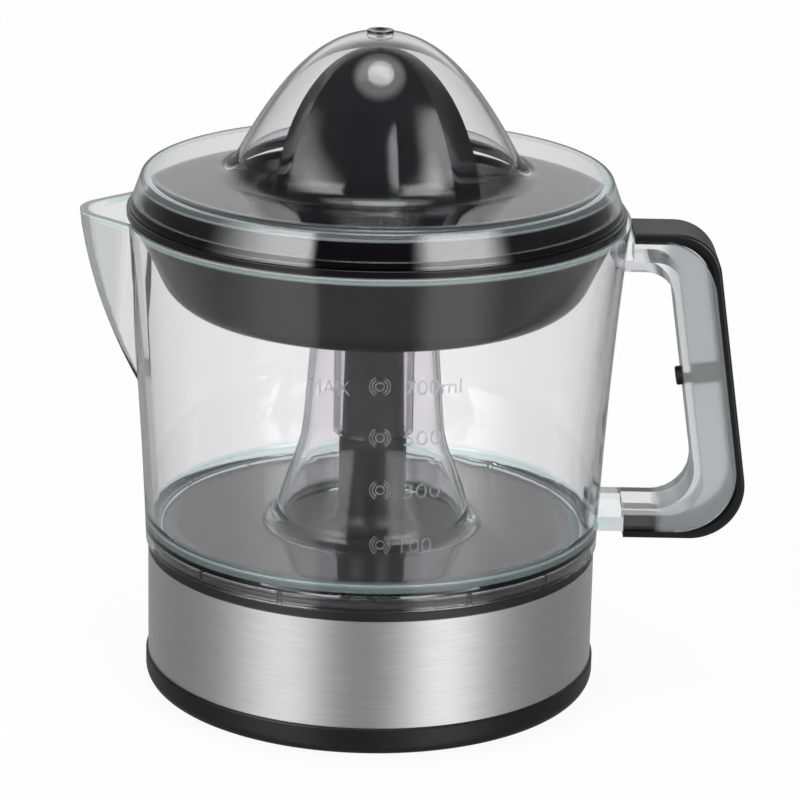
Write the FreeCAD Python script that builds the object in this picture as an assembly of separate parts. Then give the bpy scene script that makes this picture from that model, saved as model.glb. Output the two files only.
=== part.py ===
import FreeCAD, Part
import math
import os

from FreeCAD import Vector

# Electric citrus press: a round base with a steel band, a clear jug over a fixed tower, a strainer, a
# ribbed reamer and a clear dust cover. Lengths are in millimetres, +Z is up, the origin is on the drive
# axis at the surface it stands on, the spout points to -X and the handle to +X.

# Clearances
RUNNING_FIT = 0.05
SLIP_FIT = 0.15
LOOSE_FIT = 0.4

# Small rounds, how far a cutting tool runs past a face, how near two points count as one, and how much
# of a run a round may take up at one end
TINY_ROUND = 0.4
SMALL_ROUND = 0.6
EDGE_ROUND = 0.8
SOFT_ROUND = 1.0
OVERRUN = 1.0
NEAR = 0.01
LARGEST_REACH = 0.49

# Base housing
BASE_RADIUS = 68.0
FOOT_PROUD = 2.0
FOOT_RADIUS = 6.5
FOOT_SEAT = 1.4
FOOT_INSET = 18.0
FOOT_COUNT = 4
PAN_HEIGHT = 9.0
PAN_STEP = 0.7
PAN_FLOOR = 2.5
PAN_EDGE_ROUND = 5.0
PAN_TOP_ROUND = 0.6
SPIGOT_HEIGHT = 3.0
SPIGOT_WALL = 2.0
BAND_HEIGHT = 33.0
BAND_SHEET = 0.6
LIP_HEIGHT = 3.2
LIP_INSET = 0.4
LIP_ROUND = 0.8
SKIRT_WALL = 2.1
DECK_PLATE = 2.5
DECK_RISE = 2.3
VENT_COUNT = 18
VENT_WIDTH = 2.4
VENT_LENGTH = 9.0
VENT_INSET = 30.0
VENT_SPAN = 100.0

# Fixed tower on the deck
TOWER_COLLAR_RADIUS = 10.2
TOWER_COLLAR_HEIGHT = 31.0
TOWER_NECK_RADIUS = 9.4
TOWER_TIP_RADIUS = 8.6
TOWER_STEM_GAP = 6.0
TOWER_BORE = 6.0
TOWER_FOOT_ROUND = 7.0

# Housing screws and their posts
POST_RADIUS = 4.0
POST_INSET = 11.0
POST_ANGLES = (20.0, 108.0, 262.0, 335.0)
BOSS_HEIGHT = 4.0
SCREW_RADIUS = 1.5
SCREW_HEAD_RADIUS = 2.9
SCREW_HEAD = 2.0
SCREW_BITE = 9.0
SCREW_WEB = 2.5

# Cord gland in the back of the pan
GLAND_RADIUS = 3.4
GLAND_BORE = 2.6
GLAND_PAD = 4.0
GLAND_PAD_MARGIN = 2.0

# Gear train
PRESSURE_ANGLE = math.radians(20.0)
PROFILE_SHIFT = 0.4
BACKLASH = 0.16
DEDENDUM = 1.25
PINION_TEETH = 9
FAST_MODULE = 0.8
FAST_WHEEL_TEETH = 45
SLOW_MODULE = 1.0
SLOW_WHEEL_TEETH = 54
TIP_TRIM = 0.1
FAST_FACE = 3.0
SLOW_FACE = 4.0
GEAR_HEADROOM = 1.0
GEAR_GAP = 0.7
IDLER_ANGLE = 141.7
ROTOR_ANGLE = 244.6
IDLER_AXLE_RADIUS = 1.5
OUTPUT_HUB_RADIUS = 9.0
OUTPUT_WEB = 2.0
OUTPUT_RIM = 4.0
PLATE_THICKNESS = 2.0
PLATE_CORNER = 9.0
PLATE_OUTLINE = ((25, -22), (25, 24), (-14, 48), (-36, 48), (-50, 12), (-50, -14), (-16, -36), (0, -36))
PLATE_POSTS = ((16.5, -14.0), (16.5, 15.0), (-25.0, 42.0), (-7.5, -28.0))

# Motor
CORE_HEIGHT = 16.0
CORE_HALF_WIDTH = 17.0
CORE_YOKE_REACH = 38.0
CORE_TIP_REACH = 14.0
CORE_LIMB = 10.0
CORE_CORNER = 6.0
CORE_TIP_GAP = 3.0
ROTOR_RADIUS = 10.6
AIR_GAP = 0.8
ROTOR_SHAFT_RADIUS = 1.5
COIL_BUILD = 4.0
BOBBIN_WALL = 1.0
CORE_SPACER = 5.0
BRIDGE_DROP = 5.0
BRIDGE_THICKNESS = 2.0
BRIDGE_WIDTH = 10.0
CORE_SCREW_OFFSET = 14.2
BUSH_WALL = 2.4

# Drive spindle and press-to-start parts
SPINDLE_RADIUS = 4.0
PRESS_TRAVEL = 2.5
HEX_FLATS = 10.0
HEX_LENGTH = 21.0
HEX_CHAMFER = 1.2
UPPER_BUSH_LENGTH = 14.0
LOWER_BUSH_LENGTH = 9.0
LOWER_BUSH_FLANGE = 2.0
CLIP_RADIUS = 6.4
CLIP_THICKNESS = 1.0
CLIP_GROOVE = 0.6
SPINDLE_TAIL = 6.5
CAP_WALL = 2.4
CAP_FLOOR = 2.5
CAP_DEPTH = 3.0
CAP_FLANGE_RADIUS = 9.5
CAP_FLANGE = 1.5
SPRING_MEAN_RADIUS = 6.0
SPRING_WIRE = 1.0
SPRING_TURNS = 4
SPRING_PEG_HEIGHT = 4.0
SWITCH_NEAR = 15.0
SWITCH_LENGTH = 20.0
SWITCH_WIDTH = 6.4
SWITCH_HEIGHT = 8.0
SWITCH_EAR = 3.4
SWITCH_EAR_WALL = 0.9
CRADLE_WALL = 1.5
CRADLE_HEIGHT = 5.0
LEVER_THICKNESS = 0.8
LEVER_PIVOT_IN = 3.0
LEVER_PIVOT_RISE = 1.8
LEVER_PIN_RADIUS = 0.9
LEVER_TIP_RADIUS = 7.0
BUTTON_RADIUS = 1.2
BUTTON_FROM_PIVOT = 6.0
BUTTON_DEPTH = 3.0
BUTTON_TRAVEL = 0.6

# Jug
JUG_HEIGHT = 100.9
JUG_FOOT_STEP = 0.7
JUG_RIM_RADIUS = 75.5
JUG_BOW = 0.9
JUG_WALL = 2.4
JUG_FLOOR = 2.4
JUG_FLOOR_RISE = 3.5
JUG_FLOOR_ROUND = 4.0
NOTCH_COUNT = 15
NOTCH_ANGLE = -88.8
NOTCH_WIDTH = 1.4
NOTCH_DEPTH = 0.9
CENTRE_TOP_RADIUS = 17.6
CENTRE_KNEE_RADIUS = 21.6
CENTRE_KNEE_HEIGHT = 31.8
CENTRE_FLARE_RADIUS = 30.5
CENTRE_KNEE_ROUND = 40.0
CENTRE_FLARE_ROUND = 5.0
CENTRE_WALL = 2.0
GUIDE_WALL = 2.0
GUIDE_CLEAR = 0.7

# Spout
SPOUT_REACH = 12.8
SPOUT_DEPTH = 54.0
SPOUT_TIP_ROUND = 14.5
SPOUT_ROOT_ROUND = 3.0
SPOUT_HALF_ANGLE = math.radians(45.0)
SPOUT_SECTIONS = 6
SPOUT_BACK = 55.0

# Handle and grip
HANDLE_WIDTH = 20.0
HANDLE_DROP = 2.6
HANDLE_RISE = 3.3
HANDLE_TOP_REACH = 100.8
HANDLE_LOW_REACH = 115.1
HANDLE_TOP_ROUND = 26.0
HANDLE_LOW_ROUND = 20.0
HANDLE_SIDE_DEPTH = 14.7
HANDLE_TOP_DEPTH = 11.5
HANDLE_LOW_DEPTH = 9.5
GAP_TOP_ROUND = 9.0
GAP_LOW_ROUND = 12.0
HANDLE_WALL = 2.0
HANDLE_WEB = 2.5
GRIP_CAP = 2.2
GRIP_RIB = 1.2
GRIP_START = 0.8
GRIP_EDGE_ROUND = 1.0
GRIP_BOSS_RADIUS = 3.2
GRIP_SCREW_DROP = 46.0
GRIP_SCREW_BITE = 5.0

# Strainer
STRAINER_WALL = 2.0
STRAINER_DEPTH = 27.6
STRAINER_CORNER_INSET = 15.7
STRAINER_CORNER_ROUND = 16.0
STRAINER_FLANGE = 2.0
STRAINER_FLANGE_INSET = 1.2
STRAINER_FIT = 0.6
STRAINER_BEAD = 1.8
HAT_MARGIN = 2.5
HAT_FLARE = 3.5
HAT_DEPTH = 14.1
HAT_ROUND = 3.0
COLLAR_WALL = 2.4
COLLAR_HEIGHT = 8.5
TOWER_GAP = 1.0
SLOT_COUNT = 30
SLOT_WIDTH = 2.4
SLOT_MARGIN = 3.0
SLOT_INSET = 6.8

# Reamer and its bush
REAMER_RADIUS = 32.0
REAMER_HEIGHT = 61.5
REAMER_SHOULDER_DROP = 22.3
REAMER_CROWN_RADIUS = 16.0
REAMER_LIFT = 0.5
REAMER_RIBS = 10
REAMER_RIB_ANGLE = -78.0
REAMER_FLUTE = 0.085
REAMER_WALL = 2.2
REAMER_TOP_WALL = 14.0
REAMER_SECTIONS = 7
REAMER_CAP_SHARE = 0.2
REAMER_FLUTE_SHARE = 0.6
STEM_RADIUS = 8.6
STEM_DROP = 9.5
STEM_SHOULDER = 1.8
STEM_BEAD = 0.3
BUSH_LENGTH = 6.0
STEM_BUSH_WALL = 2.4

# Dust cover
COVER_WALL = 2.0
COVER_INSET = 1.9
COVER_FLARE = 4.0
COVER_SKIRT_HEIGHT = 10.9
COVER_CORNER_ROUND = 3.0
DOME_SPACE = 12.5
DOME_CLEARANCE = 2.3
DOME_FILLET = 4.0
NUB_RADIUS = 4.0
NUB_HEIGHT = 1.0
NUB_DIMPLE = 2.2

# Heights of the stacked pieces above the surface
UP = Vector(0, 0, 1)
Z_PAN = FOOT_PROUD
Z_FLOOR = Z_PAN + PAN_FLOOR
Z_BAND = Z_PAN + PAN_HEIGHT
Z_LIP = Z_BAND + BAND_HEIGHT
Z_SEAT = Z_LIP + LIP_HEIGHT
Z_DECK = Z_SEAT + DECK_RISE
Z_UNDER = Z_DECK - DECK_PLATE
Z_BOSS = Z_FLOOR + BOSS_HEIGHT
Z_RIM = Z_SEAT + JUG_HEIGHT
Z_FLANGE = Z_RIM + STRAINER_FLANGE
Z_HAT = Z_RIM - HAT_DEPTH
Z_HAT_UNDER = Z_HAT - STRAINER_WALL
Z_CENTRE_TOP = Z_HAT_UNDER - TOWER_GAP
Z_COLLAR = Z_HAT + COLLAR_HEIGHT
Z_REAMER = Z_HAT + PRESS_TRAVEL + REAMER_LIFT
COVER_HEIGHT = Z_REAMER + REAMER_HEIGHT + DOME_CLEARANCE + COVER_WALL - Z_FLANGE
Z_BUSH = Z_HAT_UNDER + PRESS_TRAVEL + LOOSE_FIT
Z_STEM = Z_REAMER - STEM_DROP
TOWER_TOP = Z_STEM - TOWER_STEM_GAP
TOWER_COLLAR_TOP = Z_DECK + TOWER_COLLAR_HEIGHT
Z_HEX = Z_STEM + LOOSE_FIT
Z_HEX_TOP = Z_HEX + HEX_LENGTH
Z_SLOW = Z_UNDER - GEAR_HEADROOM - SLOW_FACE
Z_FAST_TOP = Z_SLOW - PRESS_TRAVEL - GEAR_GAP
Z_FAST = Z_FAST_TOP - FAST_FACE
Z_PLATE_TOP = Z_FAST - LOOSE_FIT
Z_PLATE = Z_PLATE_TOP - PLATE_THICKNESS
Z_CORE_TOP = Z_PLATE - CORE_SPACER
Z_CORE = Z_CORE_TOP - CORE_HEIGHT
Z_BRIDGE = Z_CORE - BRIDGE_DROP
Z_LOWER_BUSH = Z_PLATE_TOP + LOOSE_FIT - LOWER_BUSH_LENGTH
Z_CLIP = Z_LOWER_BUSH - LOOSE_FIT - CLIP_THICKNESS
Z_SPINDLE = Z_CLIP - SPINDLE_TAIL
Z_CAP = Z_SPINDLE - CAP_FLOOR
Z_SWITCH_TOP = Z_FLOOR + SWITCH_HEIGHT
Z_PIVOT = Z_SWITCH_TOP + LEVER_PIVOT_RISE

# Radii that follow from the fits
PAN_RADIUS = BASE_RADIUS + PAN_STEP
FOOT_CIRCLE = BASE_RADIUS - FOOT_INSET
POST_CIRCLE = BASE_RADIUS - POST_INSET
VENT_CIRCLE = BASE_RADIUS - VENT_INSET
JUG_FOOT_RADIUS = BASE_RADIUS + JUG_FOOT_STEP
STRAINER_CORNER_RADIUS = JUG_RIM_RADIUS - STRAINER_CORNER_INSET
HAT_TOP_RADIUS = REAMER_RADIUS + HAT_MARGIN
HAT_FOOT_RADIUS = HAT_TOP_RADIUS + HAT_FLARE
SLOT_START = HAT_FOOT_RADIUS + SLOT_MARGIN
SLOT_END = STRAINER_CORNER_RADIUS - SLOT_INSET
COVER_SKIRT_RADIUS = JUG_RIM_RADIUS - COVER_INSET
COVER_CORNER_RADIUS = COVER_SKIRT_RADIUS - COVER_FLARE
DOME_RADIUS = REAMER_RADIUS + DOME_SPACE
LIP_RADIUS = BASE_RADIUS - LIP_INSET
SKIRT_RADIUS = BASE_RADIUS - BAND_SHEET
SKIRT_BORE = SKIRT_RADIUS - SKIRT_WALL
SPIGOT_RADIUS = SKIRT_BORE - SLIP_FIT
JUG_FOOT_BORE = JUG_FOOT_RADIUS - JUG_WALL
DECK_RADIUS = JUG_FOOT_BORE - LOOSE_FIT
GUIDE_BORE = TOWER_NECK_RADIUS + GUIDE_CLEAR
STEM_BUSH_RADIUS = STEM_RADIUS + RUNNING_FIT + STEM_BUSH_WALL
COLLAR_BORE = STEM_BUSH_RADIUS + RUNNING_FIT
COLLAR_RADIUS = COLLAR_BORE + COLLAR_WALL
LOWER_BUSH_RADIUS = SPINDLE_RADIUS + RUNNING_FIT + BUSH_WALL
ROTOR_BUSH_RADIUS = ROTOR_SHAFT_RADIUS + RUNNING_FIT + BUSH_WALL
SLOW_CENTRES = SLOW_MODULE * (PINION_TEETH + SLOW_WHEEL_TEETH) / 2
FAST_CENTRES = FAST_MODULE * (PINION_TEETH + FAST_WHEEL_TEETH) / 2
SCREW_HOLE = SCREW_RADIUS + SLIP_FIT
SCREW_PILOT = SCREW_RADIUS + RUNNING_FIT
CORE_BORE = ROTOR_RADIUS + AIR_GAP


def polar(radius, degrees, centre=(0.0, 0.0)):
    """Point at a distance and a direction from a centre."""
    angle = math.radians(degrees)
    return (centre[0] + radius * math.cos(angle), centre[1] + radius * math.sin(angle))


IDLER_AT = polar(SLOW_CENTRES, IDLER_ANGLE)
ROTOR_AT = polar(FAST_CENTRES, ROTOR_ANGLE, IDLER_AT)


def corner_arc(before, corner, after, radius):
    """Start, middle and end of the arc that rounds one corner between two straight runs."""
    back = Vector(before[0] - corner[0], before[1] - corner[1], 0)
    ahead = Vector(after[0] - corner[0], after[1] - corner[1], 0)
    half = back.getAngle(ahead) / 2
    reach = min(radius / math.tan(half), LARGEST_REACH * min(back.Length, ahead.Length))
    back.normalize()
    ahead.normalize()
    middle_way = back + ahead
    middle_way.normalize()
    fitted = reach * math.tan(half)
    inset = fitted / math.sin(half) - fitted
    point = Vector(corner[0], corner[1], 0)
    return [point + back * reach, point + middle_way * inset, point + ahead * reach]


def outline(items, place):
    """Closed wire through corners (u, v) or (u, v, radius).

    A list among the items is a curve: its last point is the next corner and the others are the poles
    of the Bezier curve that leads to it.
    """
    nodes = [item[-1] if isinstance(item, list) else item for item in items]
    poles = [item[:-1] if isinstance(item, list) else [] for item in items]
    count = len(nodes)
    arcs = []
    for i, node in enumerate(nodes):
        straight = not poles[i] and not poles[(i + 1) % count]
        if len(node) == 3 and straight:
            arcs.append(corner_arc(nodes[i - 1], node, nodes[(i + 1) % count], node[2]))
        else:
            arcs.append([Vector(node[0], node[1], 0)])
    edges = []
    for i in range(count):
        after = (i + 1) % count
        start = arcs[i][-1]
        end = arcs[after][0]
        if poles[after]:
            curve = Part.BezierCurve()
            path = [start] + [Vector(p[0], p[1], 0) for p in poles[after]] + [end]
            curve.setPoles([place(p.x, p.y) for p in path])
            edges.append(curve.toShape())
        elif start.distanceToPoint(end) > NEAR:
            edges.append(Part.LineSegment(place(start.x, start.y), place(end.x, end.y)).toShape())
        if len(arcs[after]) == 3:
            edges.append(Part.Arc(*[place(p.x, p.y) for p in arcs[after]]).toShape())
    return Part.Wire(edges)


def turned(items, at=(0.0, 0.0)):
    """Solid of revolution of an (r, z) outline about a vertical axis."""
    wire = outline(items, lambda r, z: Vector(at[0] + r, at[1], z))
    return Part.Face(wire).revolve(Vector(at[0], at[1], 0), UP, 360)


def prism(items, low, high):
    """Upright solid on an (x, y) outline."""
    wire = outline(items, lambda x, y: Vector(x, y, low))
    return Part.Face(wire).extrude(Vector(0, 0, high - low))


def side_prism(items, width):
    """Solid on an (x, z) outline, with its width centred on the XZ plane."""
    wire = outline(items, lambda x, z: Vector(x, -width / 2, z))
    return Part.Face(wire).extrude(Vector(0, width, 0))


def rod(radius, low, high, at=(0.0, 0.0)):
    """Upright cylinder."""
    return Part.makeCylinder(radius, high - low, Vector(at[0], at[1], low))


def sleeve(outer, inner, low, high, at=(0.0, 0.0)):
    """Upright tube."""
    return turned([(inner, low), (outer, low), (outer, high), (inner, high)], at)


def block(low, high):
    """Box between two opposite corners."""
    size = Vector(*high) - Vector(*low)
    return Part.makeBox(size.x, size.y, size.z, Vector(*low))


def spun(shape, degrees, at=(0.0, 0.0)):
    """Copy of a shape turned about a vertical axis."""
    copy = shape.copy()
    copy.rotate(Vector(at[0], at[1], 0), UP, degrees)
    return copy


def joined(first, *others):
    """Union with the seams between flush faces cleaned away."""
    return first.fuse(list(others)).removeSplitter()


def hexagon(flats):
    """Corners of a regular hexagon with its flats a given distance apart."""
    radius = flats / 2 / math.cos(math.radians(30))
    return [polar(radius, 60 * i) for i in range(6)]


def screw(at, seat, length, points_up=True):
    """Pan-head screw with its head under or over the seat it bears on."""
    way = 1 if points_up else -1
    head = [(0, seat - way * SCREW_HEAD), (SCREW_HEAD_RADIUS, seat - way * SCREW_HEAD, SMALL_ROUND)]
    shank = [(SCREW_HEAD_RADIUS, seat), (SCREW_RADIUS, seat), (SCREW_RADIUS, seat + way * length)]
    return turned(head + shank + [(0, seat + way * (length + SCREW_RADIUS))], at)


def involute(angle):
    """Involute of a pressure angle."""
    return math.tan(angle) - angle


def gear_wire(module, teeth, shift, phase, at, low):
    """Closed outline of an involute spur gear with one tooth pointing in the phase direction."""
    pitch = module * teeth / 2
    base = pitch * math.cos(PRESSURE_ANGLE)
    tip = pitch + module * (1 + shift) - TIP_TRIM
    root = pitch + module * (shift - DEDENDUM)
    thickness = module * (math.pi / 2 + 2 * shift * math.tan(PRESSURE_ANGLE)) - BACKLASH / 2
    half = thickness / (2 * pitch) + involute(PRESSURE_ANGLE)
    start = max(base, root)

    def lean(radius):
        return half - involute(math.acos(min(1.0, base / radius)))

    def point(radius, angle):
        x, y = polar(radius, math.degrees(angle), at)
        return Vector(x, y, low)

    edges = []
    step = 2 * math.pi / teeth
    flank = [start, (start + tip) / 2, tip]
    for i in range(teeth):
        middle = math.radians(phase) + i * step
        rise = [point(r, middle - lean(r)) for r in flank]
        fall = [point(r, middle + lean(r)) for r in reversed(flank)]
        foot = point(root, middle + lean(start))
        valley = point(root, middle + step / 2)
        next_foot = point(root, middle + step - lean(start))
        edges.append(Part.Arc(*rise).toShape())
        edges.append(Part.Arc(rise[2], point(tip, middle), fall[0]).toShape())
        edges.append(Part.Arc(*fall).toShape())
        if start - root > NEAR:
            edges.append(Part.LineSegment(fall[2], foot).toShape())
        edges.append(Part.Arc(foot, valley, next_foot).toShape())
        if start - root > NEAR:
            next_rise = point(start, middle + step - lean(start))
            edges.append(Part.LineSegment(next_foot, next_rise).toShape())
    return Part.Wire(edges)


def gear(module, teeth, shift, phase, at, low, high):
    """Solid spur gear, without its bore."""
    wire = gear_wire(module, teeth, shift, phase, at, low)
    return Part.Face(wire).extrude(Vector(0, 0, high - low))


def base_pan():
    """Black tray that closes the base, with its posts, vents, foot pockets and cord hole."""
    inner = SPIGOT_RADIUS - SPIGOT_WALL
    top = Z_BAND + SPIGOT_HEIGHT
    tray = turned([
        (0, Z_PAN), (PAN_RADIUS, Z_PAN, PAN_EDGE_ROUND), (PAN_RADIUS, Z_BAND, PAN_TOP_ROUND),
        (SPIGOT_RADIUS, Z_BAND), (SPIGOT_RADIUS, top), (inner, top), (inner, Z_FLOOR), (0, Z_FLOOR)])
    bosses = [rod(POST_RADIUS, Z_PAN, Z_BOSS, at) for at in housing_posts()]
    posts = [rod(POST_RADIUS, Z_PAN, Z_PLATE, at) for at in PLATE_POSTS]
    peg = rod(SPRING_MEAN_RADIUS - SPRING_WIRE / 2 - LOOSE_FIT, Z_PAN, Z_FLOOR + SPRING_PEG_HEIGHT)
    pan = joined(tray, *bosses, *posts, peg, *switch_cradle(), gland_pad())
    cuts = [rod(FOOT_RADIUS, Z_PAN - OVERRUN, Z_PAN + FOOT_SEAT, at) for at in foot_places()]
    for at in housing_posts():
        cuts.append(rod(SCREW_HEAD_RADIUS + LOOSE_FIT, Z_PAN - OVERRUN, Z_BOSS - SCREW_WEB, at))
        cuts.append(rod(SCREW_HOLE, Z_PAN - OVERRUN, Z_BOSS + OVERRUN, at))
    for at in PLATE_POSTS:
        cuts.append(rod(SCREW_PILOT, Z_PLATE - SCREW_BITE - 2 * SCREW_RADIUS, Z_PLATE + OVERRUN, at))
    cuts.append(gland_barrel(GLAND_RADIUS))
    cuts.extend(vents())
    return pan.cut(cuts)


def housing_posts():
    """Places of the screws that hold the pan to the deck."""
    return [polar(POST_CIRCLE, angle) for angle in POST_ANGLES]


def foot_places():
    """Places of the rubber feet: between the main axes, and one under the spindle for the pressing force."""
    ring = [polar(FOOT_CIRCLE, 45 + 360 * i / FOOT_COUNT) for i in range(FOOT_COUNT)]
    return ring + [(0.0, 0.0)]


def switch_cradle():
    """Pair of upright walls that hold the switch on the pan."""
    near = SWITCH_WIDTH / 2 + SLIP_FIT
    far = near + CRADLE_WALL
    start = SWITCH_NEAR + CRADLE_WALL
    end = SWITCH_NEAR + SWITCH_LENGTH - SWITCH_EAR
    top = Z_FLOOR + CRADLE_HEIGHT
    left = block((start, near, Z_FLOOR - OVERRUN), (end, far, top))
    return [left, spun(left, 180, ((start + end) / 2, 0))]


def gland_height():
    """Height of the cord gland's axis, midway up the pan's wall."""
    return Z_PAN + PAN_HEIGHT / 2


def gland_start():
    """Distance of the gland's inner end from the drive axis."""
    return SPIGOT_RADIUS - SPIGOT_WALL - GLAND_PAD


def gland_pad():
    """Flat pad on the inside of the pan's back wall, which the cord gland passes through."""
    half = GLAND_RADIUS + GLAND_PAD_MARGIN
    top = Z_BAND + SPIGOT_HEIGHT
    return block((-half, gland_start(), Z_FLOOR - OVERRUN), (half, SPIGOT_RADIUS - SPIGOT_WALL / 2, top))


def gland_barrel(radius):
    """Cylinder along the gland's axis, from its inner end to the outside of the pan."""
    start = Vector(0, gland_start(), gland_height())
    return Part.makeCylinder(radius, PAN_RADIUS - gland_start(), start, Vector(0, 1, 0))


def vents():
    """Radial vent slots in the floor of the pan, on the side away from the motor."""
    slots = []
    for i in range(VENT_COUNT):
        angle = -VENT_SPAN / 2 + VENT_SPAN * i / (VENT_COUNT - 1)
        near = VENT_CIRCLE - VENT_LENGTH / 2
        far = VENT_CIRCLE + VENT_LENGTH / 2
        slot = block((near, -VENT_WIDTH / 2, Z_PAN - OVERRUN), (far, VENT_WIDTH / 2, Z_FLOOR + OVERRUN))
        slots.append(spun(slot, angle))
    return slots


def rubber_feet():
    """Pads pressed into the pan's pockets."""
    top = Z_PAN + FOOT_SEAT
    sole = FOOT_RADIUS - TINY_ROUND
    pad = [(0, 0), (sole, 0, EDGE_ROUND), (FOOT_RADIUS, Z_PAN), (FOOT_RADIUS, top), (0, top)]
    return [turned(pad, at) for at in foot_places()]


def housing_screws():
    """Screws up through the pan into the deck's posts."""
    return [screw(at, Z_BOSS - SCREW_WEB, SCREW_WEB + SCREW_BITE) for at in housing_posts()]


def cord_gland():
    """Rubber bush for the mains lead, seated in the back wall of the pan."""
    return gland_barrel(GLAND_RADIUS).cut(gland_barrel(GLAND_BORE))


def steel_band():
    """Thin steel sheet round the base."""
    return sleeve(BASE_RADIUS, SKIRT_RADIUS, Z_BAND, Z_LIP)


def top_deck():
    """Dark deck with its lip, the skirt inside the band and the fixed tower round the spindle."""
    shell = turned([
        (SKIRT_BORE, Z_BAND), (SKIRT_RADIUS, Z_BAND), (SKIRT_RADIUS, Z_LIP), (LIP_RADIUS, Z_LIP),
        (LIP_RADIUS, Z_SEAT, LIP_ROUND), (DECK_RADIUS, Z_SEAT), (DECK_RADIUS, Z_DECK, SOFT_ROUND),
        (TOWER_COLLAR_RADIUS, Z_DECK, TOWER_FOOT_ROUND),
        (TOWER_COLLAR_RADIUS, TOWER_COLLAR_TOP, EDGE_ROUND), (TOWER_NECK_RADIUS, TOWER_COLLAR_TOP),
        (TOWER_TIP_RADIUS, TOWER_TOP, SMALL_ROUND), (TOWER_BORE, TOWER_TOP), (TOWER_BORE, Z_UNDER),
        (SKIRT_BORE, Z_UNDER)])
    posts = [rod(POST_RADIUS, Z_BOSS, Z_UNDER + OVERRUN, at) for at in housing_posts()]
    pilots = [rod(SCREW_PILOT, Z_BOSS - OVERRUN, Z_BOSS + SCREW_BITE + 2 * SCREW_RADIUS, at)
              for at in housing_posts()]
    return joined(shell, *posts).cut(pilots)


def gear_plate():
    """Steel plate that carries the motor, the idler's axle and the spindle's lower bush."""
    corners = [(x, y, PLATE_CORNER) for x, y in PLATE_OUTLINE]
    plate = prism(corners, Z_PLATE, Z_PLATE_TOP)
    cuts = [rod(SCREW_HOLE, Z_PLATE - OVERRUN, Z_PLATE_TOP + OVERRUN, at) for at in PLATE_POSTS]
    cuts += [rod(SCREW_PILOT, Z_PLATE - OVERRUN, Z_PLATE_TOP + OVERRUN, at) for at in core_screw_places()]
    cuts.append(rod(LOWER_BUSH_RADIUS, Z_PLATE - OVERRUN, Z_PLATE_TOP + OVERRUN))
    cuts.append(rod(ROTOR_BUSH_RADIUS, Z_PLATE - OVERRUN, Z_PLATE_TOP + OVERRUN, ROTOR_AT))
    cuts.append(rod(IDLER_AXLE_RADIUS, Z_PLATE - OVERRUN, Z_PLATE_TOP + OVERRUN, IDLER_AT))
    return plate.cut(cuts)


def plate_screws():
    """Screws down through the gear plate into the pan's posts."""
    return [screw(at, Z_PLATE_TOP, PLATE_THICKNESS + SCREW_BITE, False) for at in PLATE_POSTS]


def core_screw_places():
    """Places of the two long screws through the motor's core."""
    x, y = ROTOR_AT
    return [(x - CORE_SCREW_OFFSET, y), (x + CORE_SCREW_OFFSET, y)]


def stator_core():
    """Laminated U-shaped core, with its pole arcs round the rotor and its yoke through the coil."""
    x, y = ROTOR_AT
    left = x - CORE_HALF_WIDTH
    right = x + CORE_HALF_WIDTH
    back = y - CORE_YOKE_REACH
    front = y + CORE_TIP_REACH
    stack = prism([
        (left, back, CORE_CORNER), (right, back, CORE_CORNER), (right, front, CORE_CORNER),
        (left, front, CORE_CORNER)], Z_CORE, Z_CORE_TOP)
    low = Z_CORE - OVERRUN
    high = Z_CORE_TOP + OVERRUN
    window = block((left + CORE_LIMB, back + CORE_LIMB, low), (right - CORE_LIMB, y, high))
    slit = block((x - CORE_TIP_GAP / 2, y, low), (x + CORE_TIP_GAP / 2, front + OVERRUN, high))
    holes = [rod(SCREW_HOLE, low, high, at) for at in core_screw_places()]
    return stack.cut([window, slit, rod(CORE_BORE, low, high, ROTOR_AT)] + holes)


def coil_layer(half_length, inner, outer):
    """Rectangular ring round the core's yoke, between two distances from its faces."""
    x, y = ROTOR_AT
    back = y - CORE_YOKE_REACH
    front = back + CORE_LIMB
    hollow = block((x - half_length - OVERRUN, back - inner, Z_CORE - inner),
                   (x + half_length + OVERRUN, front + inner, Z_CORE_TOP + inner))
    solid = block((x - half_length, back - outer, Z_CORE - outer),
                  (x + half_length, front + outer, Z_CORE_TOP + outer))
    return solid.cut(hollow)


def coil_half_length():
    """Half the length of the bobbin, which fills the core's window."""
    return CORE_HALF_WIDTH - CORE_LIMB - SLIP_FIT


def coil_bobbin():
    """Bobbin with a flange at each end, on the core's yoke."""
    half = coil_half_length()
    x = ROTOR_AT[0]
    tube = coil_layer(half, SLIP_FIT, BOBBIN_WALL)
    flange = coil_layer(half, SLIP_FIT, COIL_BUILD)
    big = CORE_YOKE_REACH * 2
    middle = block((x - half + BOBBIN_WALL, -big, -big), (x + half - BOBBIN_WALL, big, big))
    return joined(tube, flange.cut(middle))


def coil_winding():
    """Copper winding between the bobbin's flanges."""
    return coil_layer(coil_half_length() - BOBBIN_WALL, BOBBIN_WALL, COIL_BUILD - SLIP_FIT)


def bearing_bridge():
    """Strap under the core that holds the rotor's lower bush."""
    x, y = ROTOR_AT
    reach = CORE_HALF_WIDTH
    leg = ROTOR_RADIUS + AIR_GAP
    half = BRIDGE_WIDTH / 2
    top = Z_BRIDGE + BRIDGE_THICKNESS
    strap = block((x - reach, y - half, Z_BRIDGE), (x + reach, y + half, Z_CORE))
    arch = block((x - leg, y - half - OVERRUN, top), (x + leg, y + half + OVERRUN, Z_CORE + OVERRUN))
    holes = [rod(SCREW_HOLE, Z_BRIDGE - OVERRUN, Z_CORE + OVERRUN, at) for at in core_screw_places()]
    return strap.cut([arch, rod(ROTOR_BUSH_RADIUS, Z_BRIDGE - OVERRUN, top + OVERRUN, ROTOR_AT)] + holes)


def core_screws():
    """Long screws up through the bridge, the core and the spacers into the gear plate."""
    length = Z_PLATE_TOP - Z_BRIDGE - SCREW_RADIUS
    return [screw(at, Z_BRIDGE, length) for at in core_screw_places()]


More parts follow.
